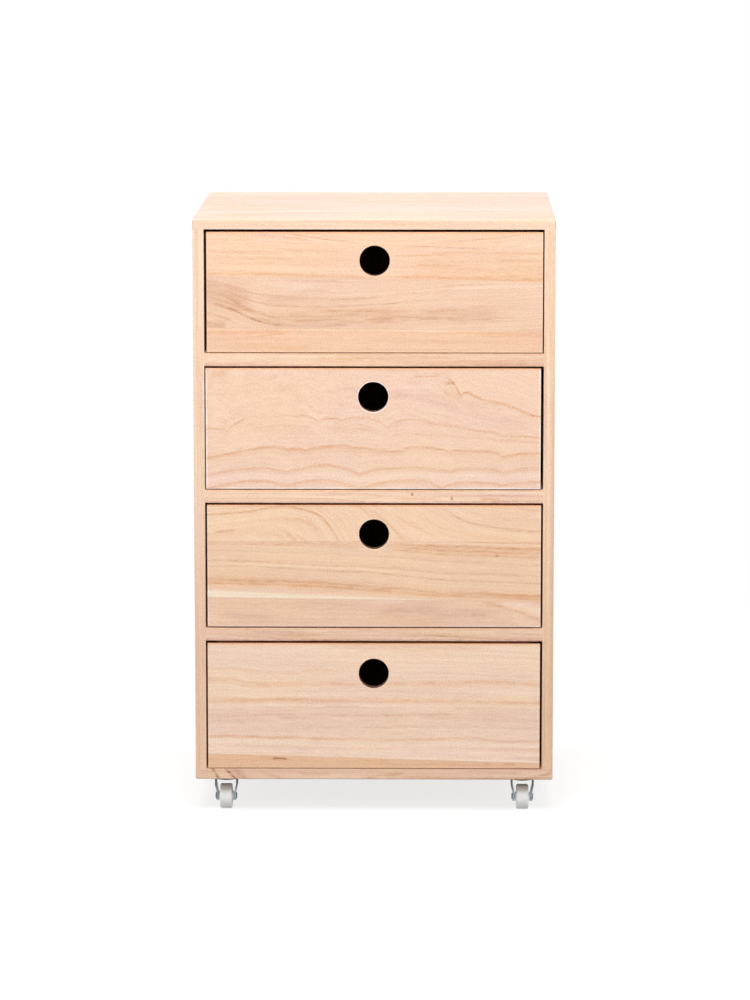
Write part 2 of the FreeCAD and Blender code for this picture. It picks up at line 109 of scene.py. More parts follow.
class Nodes:
    """A node tree under construction."""

    def __init__(self, tree):
        self.tree = tree
        self.tree.nodes.clear()

    def put(self, socket, value):
        """Sets an input, or links it where the value comes from another node."""
        if isinstance(value, Shade):
            value = value.socket
        if isinstance(value, bpy.types.NodeSocket):
            self.tree.links.new(value, socket)
        else:
            socket.default_value = value

    def node(self, kind, *values, **settings):
        """A new node with its first inputs filled."""
        node = self.tree.nodes.new(kind)
        for key, value in settings.items():
            setattr(node, key, value)
        for socket, value in zip(node.inputs, values):
            self.put(socket, value)
        return node

    def shader(self, kind, *values):
        """The output of a new shader node."""
        return self.node(kind, *values).outputs[0]

    def math(self, operation, *values, clamp=False):
        return Shade(self, self.node("ShaderNodeMath", *values, operation=operation, use_clamp=clamp).outputs[0])

    def split(self, vector):
        return tuple(Shade(self, socket) for socket in self.node("ShaderNodeSeparateXYZ", vector).outputs)

    def joined(self, x, y, z):
        return self.node("ShaderNodeCombineXYZ", x, y, z).outputs[0]

    def scaled(self, vector, factor):
        node = self.node("ShaderNodeVectorMath", vector, operation="SCALE")
        self.put(node.inputs["Scale"], factor)
        return node.outputs[0]

    def mix(self, share, first, second):
        """A colour between two others."""
        node = self.node("ShaderNodeMix", data_type="RGBA")
        for socket, value in ((MIX_SHARE, share), (MIX_FIRST, first), (MIX_SECOND, second)):
            self.put(node.inputs[socket], value)
        return node.outputs[MIX_OUT]

    def between(self, share, first, second):
        """A number between two others."""
        return first + (second - first) * share

    def smooth(self, value, low, high):
        """0 below low, 1 above high and a soft step between them."""
        node = self.node("ShaderNodeMapRange", value, low, high, interpolation_type="SMOOTHSTEP")
        return Shade(self, node.outputs["Result"])

    def band(self, value, rise, fall):
        """0 outside two limits and 1 between them, with a soft step at each."""
        return self.smooth(value, *rise) * (1.0 - self.smooth(value, *fall))

    def grain(self, kind, *place):
        """Cloudy noise from 0 to 1, about 0.5 on average where it has no soft step."""
        node = self.node("ShaderNodeTexNoise", self.joined(*(at / size for at, size in zip(place, kind.size))))
        for name, value in (("Scale", 1.0), ("Detail", kind.detail), ("Roughness", kind.rough)):
            node.inputs[name].default_value = value
        level = Shade(self, node.outputs[0])
        return self.smooth(level, *kind.step) if kind.step else level

    def dice(self, number, seed):
        """Three random numbers from 0 to 1 that stay the same while number does."""
        node = self.node("ShaderNodeTexWhiteNoise", self.joined(number, seed, 0.0), noise_dimensions="2D")
        return self.split(node.outputs["Color"])

    def curve(self, value, points):
        """A curve through (input, output) points, all of them from 0 to 1. A third number makes a sharp turn."""
        node = self.node("ShaderNodeFloatCurve")
        table = node.mapping.curves[0]
        table.points[0].location = points[0][:2]
        table.points[1].location = points[-1][:2]
        for place in points[1:-1]:
            table.points.new(*place[:2]).handle_type = "VECTOR" if len(place) > 2 else "AUTO"
        node.mapping.update()
        self.put(node.inputs["Value"], value)
        return Shade(self, node.outputs[0])


class Paint(Nodes):
    """One material under construction, with the piece's own coordinates in millimetres."""

    def __init__(self, name):
        self.material = bpy.data.materials.new(name)
        self.material.use_nodes = True
        super().__init__(self.material.node_tree)
        self.surface = self.node("ShaderNodeBsdfPrincipled")
        self.node("ShaderNodeOutputMaterial", self.surface.outputs["BSDF"])
        coords = self.node("ShaderNodeTexCoord")
        self.x, self.y, self.z = self.split(self.scaled(coords.outputs["Object"], MM_PER_M))
        self.nx, self.ny, self.nz = (self.math("ABSOLUTE", n) for n in self.split(coords.outputs["Normal"]))

    def coordinates(self, axes):
        """The coordinates in the order of some letters."""
        return tuple(getattr(self, letter) for letter in axes)

    def facing(self, axis):
        """1 on the faces that look along an axis."""
        return getattr(self, "n" + axis)

    def corners(self):
        """1 on the corners of a turned or eased piece, where the face leans between two axes, and 0 on its flats."""
        flat = self.math("MAXIMUM", self.nx, self.math("MAXIMUM", self.ny, self.nz))
        return 1.0 - self.smooth(flat, *CORNER_LEAN)

    def finished(self, colour, rough, relief, depth):
        """The material with a colour, a roughness and a relief of some depth in millimetres."""
        bump = self.node("ShaderNodeBump")
        self.put(bump.inputs["Height"], relief)
        bump.inputs["Distance"].default_value = depth / MM_PER_M
        for name, value in (("Base Color", colour), ("Roughness", rough), ("Normal", bump.outputs[0])):
            self.put(self.surface.inputs[name], value)
        return self.material


# How far a face turns, as parts of its normal: corners, end grain, broad faces
CORNER_LEAN = (0.86, 0.99)
END_LEAN = (0.6, 0.9)
FACE_LEAN = (0.5, 0.8)
# Wood
FIBRE = Grain((16.0, 1.0, 1.0), 3.0, 0.6)
STREAK = Grain((170.0, 3.6, 3.6), 3.0, 0.6)
PORE = Grain((5.0, 0.6, 0.6), step=(0.58, 0.74))
SAND = Grain((1.35, 1.35, 1.35))
CLOUD = Grain((130.0, 34.0, 34.0), 2.0, step=(0.3, 0.7))
FIBRE_SHARE = 0.16
STREAK_SHARE = 0.26
PORE_SHARE = 0.09
SAND_SHARE = 0.24
END_SHADE = 0.20
# Eased edges paler: partly sanded wear, partly painted highlight
EDGE_WEAR_AND_HIGHLIGHT = 0.02
WOOD_ROUGH = 0.68
STREAK_ROUGH = 0.16
PORE_ROUGH = 0.12
END_ROUGH = 0.1
EDGE_ROUGH = -0.08
WOOD_SPECULAR = 0.2
WOOD_BUMP = 0.04
FIBRE_BUMP = 0.8
STREAK_BUMP = 0.2
PORE_BUMP = -0.6
# Tints: the two of the clouds, and the browner late wood of a growth line
STRAW = (1.015, 1.015, 0.99)
ROSY = (0.985, 0.975, 1.005)
LATE = (0.78, 0.58, 0.46)
# How red, green and blue fall where wood is darker
GOLD = (0.40, 1.0, 1.65)
PLUM = (0.60, 1.0, 0.86)
EVEN = (0.58, 1.0, 1.30)
SUNNY = (0.10, 0.35, 2.0)
# Strokes of the grain. They fade at ends inside the board, and fine ones are wider and broken up.
STROKE_EDGE = 169.0
STROKE_FADE = 0.22
STROKE_FINE = 1.5
STROKE_BROAD = 4.0
STROKE_GAIN = 1.3
STROKE_FINE_GAIN = 1.25
STROKE_FINE_SPREAD = 1.5
STROKE_BROKEN = 0.6


def golden(paint, colour, level, hue):
    """A wood colour made darker or lighter in the way wood is."""
    powers = paint.joined(*(paint.math("POWER", level, power) for power in hue))
    return paint.node("ShaderNodeVectorMath", colour, powers, operation="MULTIPLY").outputs[0]


STROKE_INPUTS = ("Sum", "Off", "Share", "Speck", "Above", "Below", "Depth", "Start", "End", "Grainy")


def stroke_group():
    """A node group that adds the darkness of one stroke to a sum."""
    group = bpy.data.node_groups.new("grain_stroke", "ShaderNodeTree")
    for name in STROKE_INPUTS:
        group.interface.new_socket(name, in_out="INPUT", socket_type="NodeSocketFloat")
    group.interface.new_socket("Sum", in_out="OUTPUT", socket_type="NodeSocketFloat")
    tools = Nodes(group)
    given = tools.node("NodeGroupInput")
    total, off, share, speck, above, below, depth, start, end, grainy = (
        Shade(tools, given.outputs[name]) for name in STROKE_INPUTS
    )
    off = tools.math("MAXIMUM", off, 0.0) / below + tools.math("MINIMUM", off, 0.0) / above
    dark = tools.math("EXPONENT", 0.0 - off * off) * depth
    dark = dark * tools.math("MAXIMUM", tools.smooth(share, 0.0, STROKE_FADE), start)
    dark = dark * tools.math("MAXIMUM", 1.0 - tools.smooth(share, 1.0 - STROKE_FADE, 1.0), end)
    dark = dark * (1.0 + grainy * (speck - 0.5))
    tools.put(tools.node("NodeGroupOutput").inputs["Sum"], total + dark)
    return group


GRAIN_STROKE = stroke_group()


def stroke(paint, total, along, drop, speck, reach, depth, *points):
    """Adds to a sum how much one stroke darkens each place."""
    above, below = reach if isinstance(reach, tuple) else (reach, reach)
    (start, first), (end, last) = points[0][:2], points[-1][:2]
    share = paint.math("MULTIPLY_ADD", along, 1.0 / (end - start), -start / (end - start))
    if len(points) == 2:
        line = paint.math("MULTIPLY_ADD", share, last - first, first)
    else:
        top = min(point[1] for point in points)
        deep = max(point[1] for point in points) - top
        table = [((x - start) / (end - start), (down - top) / deep, *turn) for x, down, *turn in points]
        line = paint.math("MULTIPLY_ADD", paint.curve(share, table), deep, top)
    at_edge = [1.0 if abs(x) > STROKE_EDGE else 0.0 for x in (start, end)]
    fine = max(above, below) < STROKE_FINE
    depth = depth * (STROKE_FINE_GAIN if fine else STROKE_GAIN)
    grainy = 1.0 if fine else STROKE_BROKEN if max(above, below) < STROKE_BROAD else 0.0
    spread = STROKE_FINE_SPREAD if fine else 1.0
    values = (total, drop - line, share, speck, above * spread, below * spread, depth, *at_edge, grainy)
    node = paint.node("ShaderNodeGroup", node_tree=GRAIN_STROKE)
    for name, value in zip(STROKE_INPUTS, values):
        paint.put(node.inputs[name], value)
    return Shade(paint, node.outputs["Sum"])


def stroked(paint, colour, along, drop, speck, strokes, strength):
    """A wood colour with strokes over it, hue by hue."""
    for hue in (GOLD, PLUM, EVEN, SUNNY):
        total = 0.0
        for own, *rest in strokes:
            if own == hue:
                total = stroke(paint, total, along, drop, speck, *rest)
        if total != 0.0:
            colour = golden(paint, colour, 1.0 - total * strength, hue)
    return colour


def finish_wood(paint, colour, place, end, edge, streaky=1.0):
    """Adds fibres, pores, end grain, edges made paler by wear and painted highlight, gloss and relief to a wood
    colour.
    """
    fibre = paint.grain(FIBRE, *place)
    streak = paint.grain(STREAK, *place)
    pore = paint.grain(PORE, *place)
    sand = paint.grain(SAND, paint.x, paint.y, paint.z)
    streak_level = (streak - 0.5) * (2 * STREAK_SHARE * streaky) + (sand - 0.5) * (2 * SAND_SHARE)
    level = 1.0 + (fibre - 0.5) * (2 * FIBRE_SHARE) + streak_level - pore * PORE_SHARE
    end_grain = paint.smooth(end, *END_LEAN)
    level = level * (1.0 - end_grain * END_SHADE) + edge * EDGE_WEAR_AND_HIGHLIGHT
    rough = WOOD_ROUGH + (streak - 0.5) * STREAK_ROUGH + pore * PORE_ROUGH + end_grain * END_ROUGH + edge * EDGE_ROUGH
    relief = fibre * FIBRE_BUMP + streak * STREAK_BUMP + pore * PORE_BUMP
    paint.surface.inputs["Specular IOR Level"].default_value = WOOD_SPECULAR
    return paint.finished(golden(paint, colour, level, EVEN), rough, relief, WOOD_BUMP)


def cloud_colour(paint, place, tone):
    """The two wood tints of one board, mixed in soft clouds."""
    return paint.mix(paint.grain(CLOUD, *place), tinted(tone, ROSY), tinted(tone, STRAW))


# Drawer fronts. A stave is one board of a front, from the top: its tone, its lower joint as (drop at the middle,
# slope, blur), how strongly its plain grain shows, the slope of that grain, how strong its strokes are, the lines
# that the grain follows as (across, drop) points, and the strokes that stand out from it. A stroke has its hue, its
# reach or (reach above, reach below), its depth of shade and its points. A point's third number makes a sharp turn.
# Drops are in millimetres below the front's top edge.
Stave = namedtuple("Stave", "tone joint grain slope weight guides strokes")

WAVES = (
    ((-170, -20), (0, -8), (40, 1), (60, 2), (69, 3), (74, 9), (79, 13), (82, 17), (87, 27, 1), (93, 23.5), (100, 27),
     (110, 31), (130, 35), (140, 38.5), (157, 46), (170, 48.5)),
    ((-170, 60), (-150, 60), (-146, 64, 1), (-140, 57), (-132, 53), (-124, 49), (-118, 48.5), (-113, 51, 1),
     (-107, 48.5), (-95, 47.5), (-82, 46.5), (-77, 48, 1), (-70, 46.5), (-62, 48.5), (-54, 53.5, 1), (-48, 50),
     (-38, 50), (-32, 52.5, 1), (-26, 50), (-12, 48.5), (0, 50.5), (6, 52.5), (14, 59, 1), (20, 54.5), (28, 52),
     (40, 51), (50, 52), (62, 55), (80, 57.5), (105, 62), (118, 63.5), (129, 67.5, 1), (145, 67.5), (170, 71)),
    ((-170, 90), (-150, 87), (-135, 83.5), (-120, 81), (-95, 79), (-85, 81.5, 1), (-78, 80), (-68, 82, 1), (-55, 79),
     (-42, 77.5), (-30, 77), (-20, 78.5), (-5, 80.5), (16, 83, 1), (28, 81.5), (38, 78.5), (50, 78), (62, 79.5),
     (77, 83.5, 1), (85, 82), (112, 82.5), (129, 87.5, 1), (140, 86), (155, 84.5), (170, 84.5)),
    ((-170, 108), (-155, 105), (-140, 102), (-125, 100.5), (-112, 100), (-100, 101.5), (-86, 104.5, 1), (-75, 101),
     (-62, 98.5), (-50, 97), (-38, 98), (-28, 100.5), (-14, 106.5, 1), (-6, 103.5), (5, 101), (20, 100), (40, 99.5),
     (60, 101), (78, 103, 1), (88, 100), (105, 100), (130, 104, 1), (142, 101.5), (155, 99.5), (170, 99.5)),
    ((-170, 121), (-155, 118.5), (-140, 115.5), (-125, 113.5), (-112, 113), (-100, 114.5), (-86, 117.5, 1),
     (-75, 115), (-62, 112.5), (-50, 112), (-40, 113), (-30, 115.5), (-15, 120.5, 1), (-6, 118.5), (5, 115),
     (20, 113), (40, 112), (60, 116), (68, 119.5, 1), (80, 116), (95, 114), (130, 117, 1), (140, 115), (170, 113.5)),
)
GUIDES_1_UPPER = (
    ((-170, 4), (-90, 8), (-30, 14), (15, 19), (60, 16), (100, 11), (170, 2)),
    ((-170, 22), (-90, 24), (-20, 27), (30, 28), (90, 26), (170, 22)),
    ((-170, 40), (-60, 42), (30, 43), (170, 44)),
)
STROKES_1_UPPER = (
    (PLUM, (0.6, 0.5), 0.12, (-128, 2), (-100, 4.5), (-80, 6.5), (-58, 9.5)),
    (GOLD, 0.6, 0.14, (-92, 2), (-60, 5.5), (-40, 8.5), (-18, 10)),
    (GOLD, 0.8, 0.1, (-170, 7), (-118, 8)),
    (PLUM, 0.5, 0.08, (-115, 10.2), (-55, 11.8)),
    (GOLD, (1.2, 1), -0.06, (-75, 8), (-20, 11.5), (5, 12.5)),
    (GOLD, (0.8, 1.4), 0.1, (-170, 18.5), (-110, 20), (-80, 18.5), (-15, 23)),
    (GOLD, (3.5, 4), 0.06, (-125, 27), (-15, 28)),
    (GOLD, 0.8, 0.08, (-170, 27.5), (-75, 27)),
    (GOLD, (0.8, 0.6), 0.08, (-150, 32.5), (-90, 31)),
    (GOLD, (2.6, 1.2), 0.12, (-170, 43.8), (-120, 42.5), (-80, 43.5), (0, 46), (15, 46.2)),
    (GOLD, (3.2, 1.4), 0.16, (2, 46), (60, 46), (100, 47), (170, 47.8)),
    (PLUM, 0.5, 0.15, (68, 10.5), (100, 8), (146, 3.5)),
    (PLUM, 0.5, 0.18, (20, 14.3), (60, 15.3), (120, 16.6)),
    (GOLD, 0.7, 0.1, (40, 20), (170, 21.8)),
    (GOLD, 0.6, 0.12, (17, 23.6), (85, 23)),
    (GOLD, (9, 10), 0.08, (20, 35), (170, 36)),
    (GOLD, 1.6, 0.07, (115, 28), (170, 29.5)),
    (GOLD, 0.8, 0.08, (25, 33), (92, 34)),
    (GOLD, 3, -0.05, (120, 12), (170, 13)),
)
GUIDES_1_MIDDLE = (
    ((-170, 50), (-145, 54), (-130, 59), (-105, 64), (-70, 66), (0, 65), (80, 60), (170, 57)),
    ((-170, 58), (-150, 61), (-130, 67), (-115, 71), (-95, 74), (-70, 75), (0, 73), (40, 70), (170, 66)),
    ((-170, 68), (-150, 75), (-140, 79), (-130, 84), (-108, 91), (-95, 93), (-40, 92), (40, 85), (170, 78)),
    ((-170, 80), (-150, 88), (-130, 97), (-100, 104), (0, 100), (60, 94), (170, 88)),
)
STROKES_1_MIDDLE = (
    (EVEN, (14, 11), 0.15, (-170, 60), (-118, 74)),
    (EVEN, (2.4, 0.8), 0.26, (-165, 70), (-150, 75.5), (-140, 79), (-130, 84), (-120, 88), (-108, 91.5), (-90, 94)),
    (EVEN, (3, 0.9), 0.14, (-110, 91.5), (-90, 93.6), (-55, 94.2), (-20, 93)),
    (EVEN, (1.5, 0.8), 0.12, (-155, 55), (-130, 66), (-115, 71), (-95, 74), (-70, 75), (0, 73), (20, 71.5),
     (55, 69.5)),
    (EVEN, (0.8, 5), 0.09, (-170, 49), (-145, 53), (-130, 58), (-105, 63), (-70, 65), (-30, 67)),
    (EVEN, (1.2, 0.7), 0.12, (-150, 64), (-135, 72), (-120, 79.5), (-105, 84), (-90, 86)),
    (EVEN, (0.8, 0.6), 0.1, (-140, 72), (-125, 80), (-112, 86.5), (-100, 89.5)),
    (EVEN, (4.5, 4), 0.2, (-172, 92.5), (-145, 94)),
    (EVEN, 0.8, 0.12, (-170, 81), (-150, 86), (-138, 91)),
    (PLUM, 0.6, 0.12, (-95, 48.3), (-55, 49), (-22, 50)),
    (EVEN, 0.8, 0.09, (-75, 58), (-42, 58.6)),
    (EVEN, (0.8, 1.4), 0.1, (-50, 67.5), (-25, 67), (8, 64)),
    (EVEN, 9, 0.125, (-125, 85), (30, 84)),
    (EVEN, 8, 0.105, (-10, 84), (140, 82)),
    (EVEN, 0.9, 0.1, (-60, 80.5), (-20, 79), (15, 80)),
    (EVEN, 0.8, 0.1, (-100, 88.2), (-60, 88.5), (-10, 88), (20, 85.6)),
    (EVEN, (1, 1.2), 0.11, (-5, 86.8), (20, 85.6), (45, 85), (70, 86), (98, 89.5)),
    (EVEN, 0.8, 0.09, (-35, 90.5), (0, 90), (20, 88.5), (65, 87.5)),
    (EVEN, 0.7, 0.1, (40, 79.4), (75, 78.4), (100, 76.5)),
    (EVEN, 0.8, 0.1, (92, 87.5), (145, 85)),
    (PLUM, 4, 0.06, (-120, 69), (-50, 69)),
    (GOLD, 6, -0.05, (70, 57), (170, 56)),
    (GOLD, (4, 5), -0.05, (-130, 50), (-50, 56)),
    (GOLD, 0.7, 0.08, (60, 53.5), (125, 53)),
)
STROKES_1_LOWER = (
    (GOLD, 0.7, -0.07, (-170, 97.3), (0, 98.2), (170, 99)),
    (GOLD, (2.2, 2), 0.1, (-170, 101.5), (-130, 100.5), (-85, 101)),
    (GOLD, 0.6, 0.1, (-135, 105.5), (-100, 103), (-80, 98.5)),
    (GOLD, 2, 0.06, (90, 102), (170, 103.5)),
    (PLUM, 1.5, 0.06, (55, 109.5), (85, 110)),
    (GOLD, 3, 0.05, (-150, 113), (-60, 116)),
    (GOLD, 2, -0.04, (-60, 112), (30, 113)),
)
STROKES_2_WHOLE = (
    (GOLD, (0.8, 1.4), 0.26, *WAVES[0][3:]),
    (GOLD, (0.7, 1), 0.17, *WAVES[1]),
    (GOLD, (1.3, 2.2), 0.18, *WAVES[2]),
    (GOLD, (0.5, 6), 0.06, *WAVES[2]),
    (GOLD, (1.3, 3), 0.16, *WAVES[3]),
    (GOLD, (1.3, 2.4), 0.2, *WAVES[4]),
    (GOLD, 0.6, 0.18, (38, 8), (60, 7.6), (71, 7)),
    (GOLD, 0.9, 0.34, (70, 15), (83, 14.4)),
    (GOLD, 5, 0.1, (68, 24), (90, 28)),
    (GOLD, 1.4, 0.16, (-163, 7.5), (-143, 4.5)),
    (GOLD, 1, 0.12, (-163, 26), (-144, 26)),
    (GOLD, 3.5, 0.07, (-132, 63.5), (-90, 58.5), (-58, 61)),
    (GOLD, (2.5, 3), 0.07, (-45, 61.5), (-20, 60), (6, 63)),
    (GOLD, (1.8, 2), 0.07, (16, 65), (60, 66.5), (100, 69.5), (170, 74)),
    (PLUM, 4, 0.1, (5, 23), (45, 28), (62, 33.5), (80, 39.5), (100, 47)),
    (PLUM, 3, 0.08, (86, 36), (118, 37)),
    (PLUM, 4, 0.06, (88, 46), (130, 52), (165, 62)),
    (PLUM, 3, 0.06, (-40, 18), (-10, 21)),
    (PLUM, 6, 0.03, (-120, 69), (-50, 71)),
    (GOLD, 10, 0.03, (-170, 18), (-60, 24)),
    (EVEN, 2.5, -0.05, (-170, 114), (-120, 108), (-86, 110.5), (-50, 105), (-14, 112), (40, 107), (170, 107)),
    (EVEN, 4, -0.04, (-60, 62), (-44, 61)),
    (EVEN, 3, -0.03, (-95, 96), (-78, 98)),
    (GOLD, 9, -0.045, (-170, 110), (170, 110)),
)
GUIDES_3_UPPER = (
    ((-170, -30), (-60, -30), (0, -28), (60, -20), (103, 0), (128, 5), (170, 8)),
    ((-170, -20), (-60, -20), (20, -16), (61, 0), (75, 7), (85, 13), (105, 19.5), (140, 25), (170, 27)),
    ((-170, -10), (-50, -12), (16, -6), (40, 5), (62, 19), (75, 24), (95, 29), (130, 33), (170, 36)),
    ((-170, -3), (-49, -6), (-12, 1), (6, 13), (18, 22), (33, 36), (170, 60)),
    ((-170, 2), (-84, -3), (-49, 0), (-29, 15), (-19, 28), (-9, 43), (170, 80)),
    ((-170, 10), (-125, 6), (-90, 1), (-70, 4.5), (-60, 7.5), (-46, 19), (-35, 36), (-20, 58), (170, 95)),
    ((-170, 22), (-134, 17), (-102, 13), (-72, 15), (-59, 22), (-53, 36), (-40, 56), (170, 110)),
    ((-170, 33), (-134, 29), (-102, 27), (-93, 32), (-88, 36), (-60, 66), (170, 125)),
)
STROKES_3_UPPER = (
    (GOLD, (0.8, 0.9), 0.14, (-170, 10.8), (-150, 8.5), (-125, 6), (-108, 3.5), (-80, 1.5)),
    (GOLD, 0.7, 0.3, (-90, 0.5), (-70, 4.5), (-60, 7.5), (-52, 12), (-46, 19), (-40, 28), (-33, 39)),
    (PLUM, (0.8, 1), 0.12, (-70, 11), (-64, 16), (-59, 22), (-55, 29), (-52, 38)),
    (GOLD, (2.5, 2), 0.09, (-100, 14), (-75, 15), (-62, 20), (-52, 29), (-46, 38)),
    (EVEN, 0.9, 0.34, (-160, 27.6), (-148, 26.2), (-138, 24.8)),
    (GOLD, 1.4, 0.14, (-122, 31.5), (-100, 29.5), (-93, 32), (-85, 39)),
    (EVEN, 2.4, 0.15, (-90, 27), (-76, 37)),
    (EVEN, 1.6, 0.14, (-80, 28), (-66, 37)),
    (GOLD, (1, 1.2), 0.1, (-44, 1), (-35, 12), (-28, 20), (-16, 32)),
    (GOLD, (1, 1.4), 0.12, (-15, 0), (-5, 10), (4, 20)),
    (GOLD, 0.8, 0.12, (-5, 0), (5, 10), (14, 18), (26, 29.5), (37, 39)),
    (GOLD, (1.5, 4), 0.1, (30, 0), (40, 5), (50, 11), (62, 19), (75, 24), (95, 29), (140, 34)),
    (GOLD, 2.5, 0.08, (15, 3), (30, 14), (45, 22), (62, 33)),
    (EVEN, (0.7, 0.9), 0.22, (62, 0), (75, 7), (85, 13), (95, 17), (105, 19.5), (120, 22), (140, 25), (170, 27.2)),
    (GOLD, 3, -0.05, (74, 1), (90, 9), (108, 13)),
    (GOLD, 3, -0.05, (32, 22), (58, 38)),
    (EVEN, 0.9, 0.18, (142, 2.5), (170, 6)),
    (PLUM, (7, 6), 0.06, (110, 10), (170, 18)),
)
GUIDES_3_MIDDLE = (
    ((-170, 38), (-60, 40), (60, 42), (170, 45)),
    ((-170, 47), (-60, 49), (0, 52), (60, 56), (170, 60)),
    ((-170, 61), (-80, 64.5), (0, 68.5), (80, 75.5), (170, 78)),
    ((-170, 77), (-80, 79.5), (0, 84), (80, 90), (170, 93)),
    ((-170, 88), (0, 94), (170, 100)),
)
STROKES_3_MIDDLE = (
    (GOLD, (1.3, 1.4), 0.14, (-170, 38.6), (-120, 39), (-60, 38.2), (20, 39.2)),
    (GOLD, 0.8, 0.12, (-118, 39.8), (-60, 41.4), (-5, 43.6)),
    (GOLD, (0.9, 1.2), 0.24, (6, 37), (45, 40), (80, 41.5), (110, 42), (140, 43.5), (170, 44.2)),
    (GOLD, 0.9, 0.2, (4, 44.5), (50, 47.5), (75, 49.5), (100, 50), (130, 51), (170, 53)),
    (GOLD, 1, 0.15, (18, 41), (60, 45), (100, 46.5), (165, 48.4)),
    (GOLD, 0.7, 0.16, (85, 36.5), (130, 38), (170, 38.6)),
    (GOLD, 4.5, 0.09, (-5, 42), (60, 44), (170, 47)),
    (EVEN, 0.9, 0.4, (121, 50.9), (125, 51.1)),
    (EVEN, 0.6, 0.09, (-170, 45.6), (-120, 47), (-60, 49), (0, 52), (40, 54.5), (80, 57), (170, 60.5)),
    (EVEN, (0.6, 0.7), 0.13, (-170, 56), (-130, 56.5), (-80, 59.5), (0, 63), (40, 66), (80, 69), (140, 70),
     (170, 72)),
    (EVEN, (0.6, 0.8), 0.17, (-170, 61.4), (-130, 62), (-80, 64.5), (0, 68.5), (40, 72.5), (80, 75.5), (170, 78.6)),
    (EVEN, 0.8, -0.04, (-170, 59), (-80, 62), (0, 65.5), (80, 72), (170, 75)),
    (GOLD, (5, 4.5), 0.15, (-170, 77), (-80, 79.5), (-40, 81.5), (0, 84.5), (40, 88), (80, 90.5), (170, 93.5)),
    (EVEN, 0.8, 0.13, (-170, 76), (-120, 76.6), (-60, 78.5), (0, 82.5), (50, 87.6), (80, 89.8), (170, 92)),
    (GOLD, 0.8, 0.13, (-170, 79.4), (-100, 80.4), (-40, 83.5), (0, 86.6), (60, 91), (170, 95)),
    (EVEN, 0.7, 0.12, (-80, 82), (-40, 82.8), (0, 84.6), (30, 86.4)),
    (GOLD, 0.8, 0.1, (90, 88), (130, 89.6), (170, 91.5)),
)
STROKES_3_LOWER = (
    (GOLD, (1.6, 2.4), 0.09, (102, 96.4), (120, 100), (132, 103.5), (145, 107.5), (158, 113), (170, 117.5)),
    (EVEN, 6, -0.1, (126, 97), (150, 103), (170, 109)),
    (EVEN, 6, -0.06, (136, 114), (170, 124)),
    (EVEN, 1.3, 0.07, (96, 110.8), (114, 111.4)),
    (PLUM, 5, 0.08, (0, 109), (40, 105), (75, 106)),
    (PLUM, 5, 0.07, (55, 113), (125, 107)),
    (PLUM, 5, 0.06, (-160, 111), (-95, 116)),
    (PLUM, 4, 0.04, (-90, 99), (10, 103)),
    (EVEN, 4, -0.05, (-170, 115), (-140, 119)),
    (GOLD, (2, 2.5), -0.05, (-15, 97), (35, 98)),
    (GOLD, 4, 0.05, (-10, 112), (75, 119)),
)
GUIDES_4_UPPER = (
    ((-170, 27), (-140, 27), (-105, 30), (-60, 28), (60, 30), (170, 34)),
    ((-170, 38), (-150, 37), (-130, 41), (-60, 41), (30, 40), (115, 40), (170, 45)),
    ((-170, 59), (-100, 57.5), (0, 58.5), (70, 59), (170, 61)),
    ((-170, 75), (-60, 73), (60, 73), (170, 75)),
    ((-170, 96.5), (-60, 98), (0, 99), (100, 97.5), (170, 99.5)),
    ((-170, 112), (0, 116), (170, 121)),
)
STROKES_4_UPPER = (
    (GOLD, 2.5, 0.1, (-60, 2.5), (0, 4), (40, 4.5), (130, 3.5)),
    (GOLD, 1.2, 0.1, (-170, 26.5), (-140, 27), (-125, 29.5), (-85, 30.5), (-60, 27.5), (-20, 29)),
    (PLUM, (1.6, 1.8), 0.06, (30, 30), (80, 30), (110, 32), (170, 34)),
    (GOLD, 1, -0.04, (30, 27), (90, 28)),
    (GOLD, (2.4, 3), 0.13, (-170, 38), (-150, 37), (-130, 41), (-100, 42), (-60, 41), (10, 41.5), (50, 40), (75, 41),
     (115, 39.5), (170, 45)),
    (GOLD, 2.4, 0.15, (-170, 59), (-130, 59), (-100, 57.5), (-40, 58.5), (-15, 58), (15, 59), (70, 59), (130, 60.5),
     (170, 61)),
    (EVEN, 1.4, -0.04, (-170, 63.5), (0, 63), (170, 65)),
    (PLUM, 12, 0.07, (-170, 76), (0, 76), (170, 78)),
    (PLUM, 4, 0.05, (-20, 52), (20, 51), (130, 53)),
    (EVEN, 1, 0.08, (-155, 73), (-60, 73), (0, 74), (60, 72.5), (120, 73)),
    (PLUM, 0.9, 0.09, (-100, 76.5), (-60, 77.2)),
    (EVEN, (0.8, 1), 0.08, (-145, 84), (-60, 86), (0, 86), (60, 85.5), (130, 86), (170, 87.5)),
    (PLUM, 0.8, 0.09, (-55, 64.8), (-10, 65.6)),
    (PLUM, 0.8, 0.07, (-165, 79), (-120, 80.5)),
    (GOLD, (1.5, 1.7), 0.16, (-170, 97), (-150, 95), (-120, 96), (-100, 97), (-80, 96.5), (-60, 98), (-20, 98.2),
     (0, 99), (45, 98.5), (100, 97.5), (135, 100.5), (170, 99.5)),
    (EVEN, 3.5, -0.06, (-170, 101), (0, 103.5), (170, 105)),
    (GOLD, 1, 0.07, (-155, 104), (-60, 106.5), (0, 107.5), (40, 106.5), (120, 108), (170, 109.5)),
    (PLUM, (2.4, 2.6), 0.06, (-170, 108.5), (-100, 109.5), (0, 112.5), (60, 113.5), (110, 116), (170, 118)),
    (PLUM, 2, 0.08, (138, 116.5), (170, 118)),
    (EVEN, 5, -0.085, (-170, 109), (0, 113), (170, 117)),
    (EVEN, 0.9, -0.07, (-170, 112.3), (0, 116.9), (170, 121.5)),
)
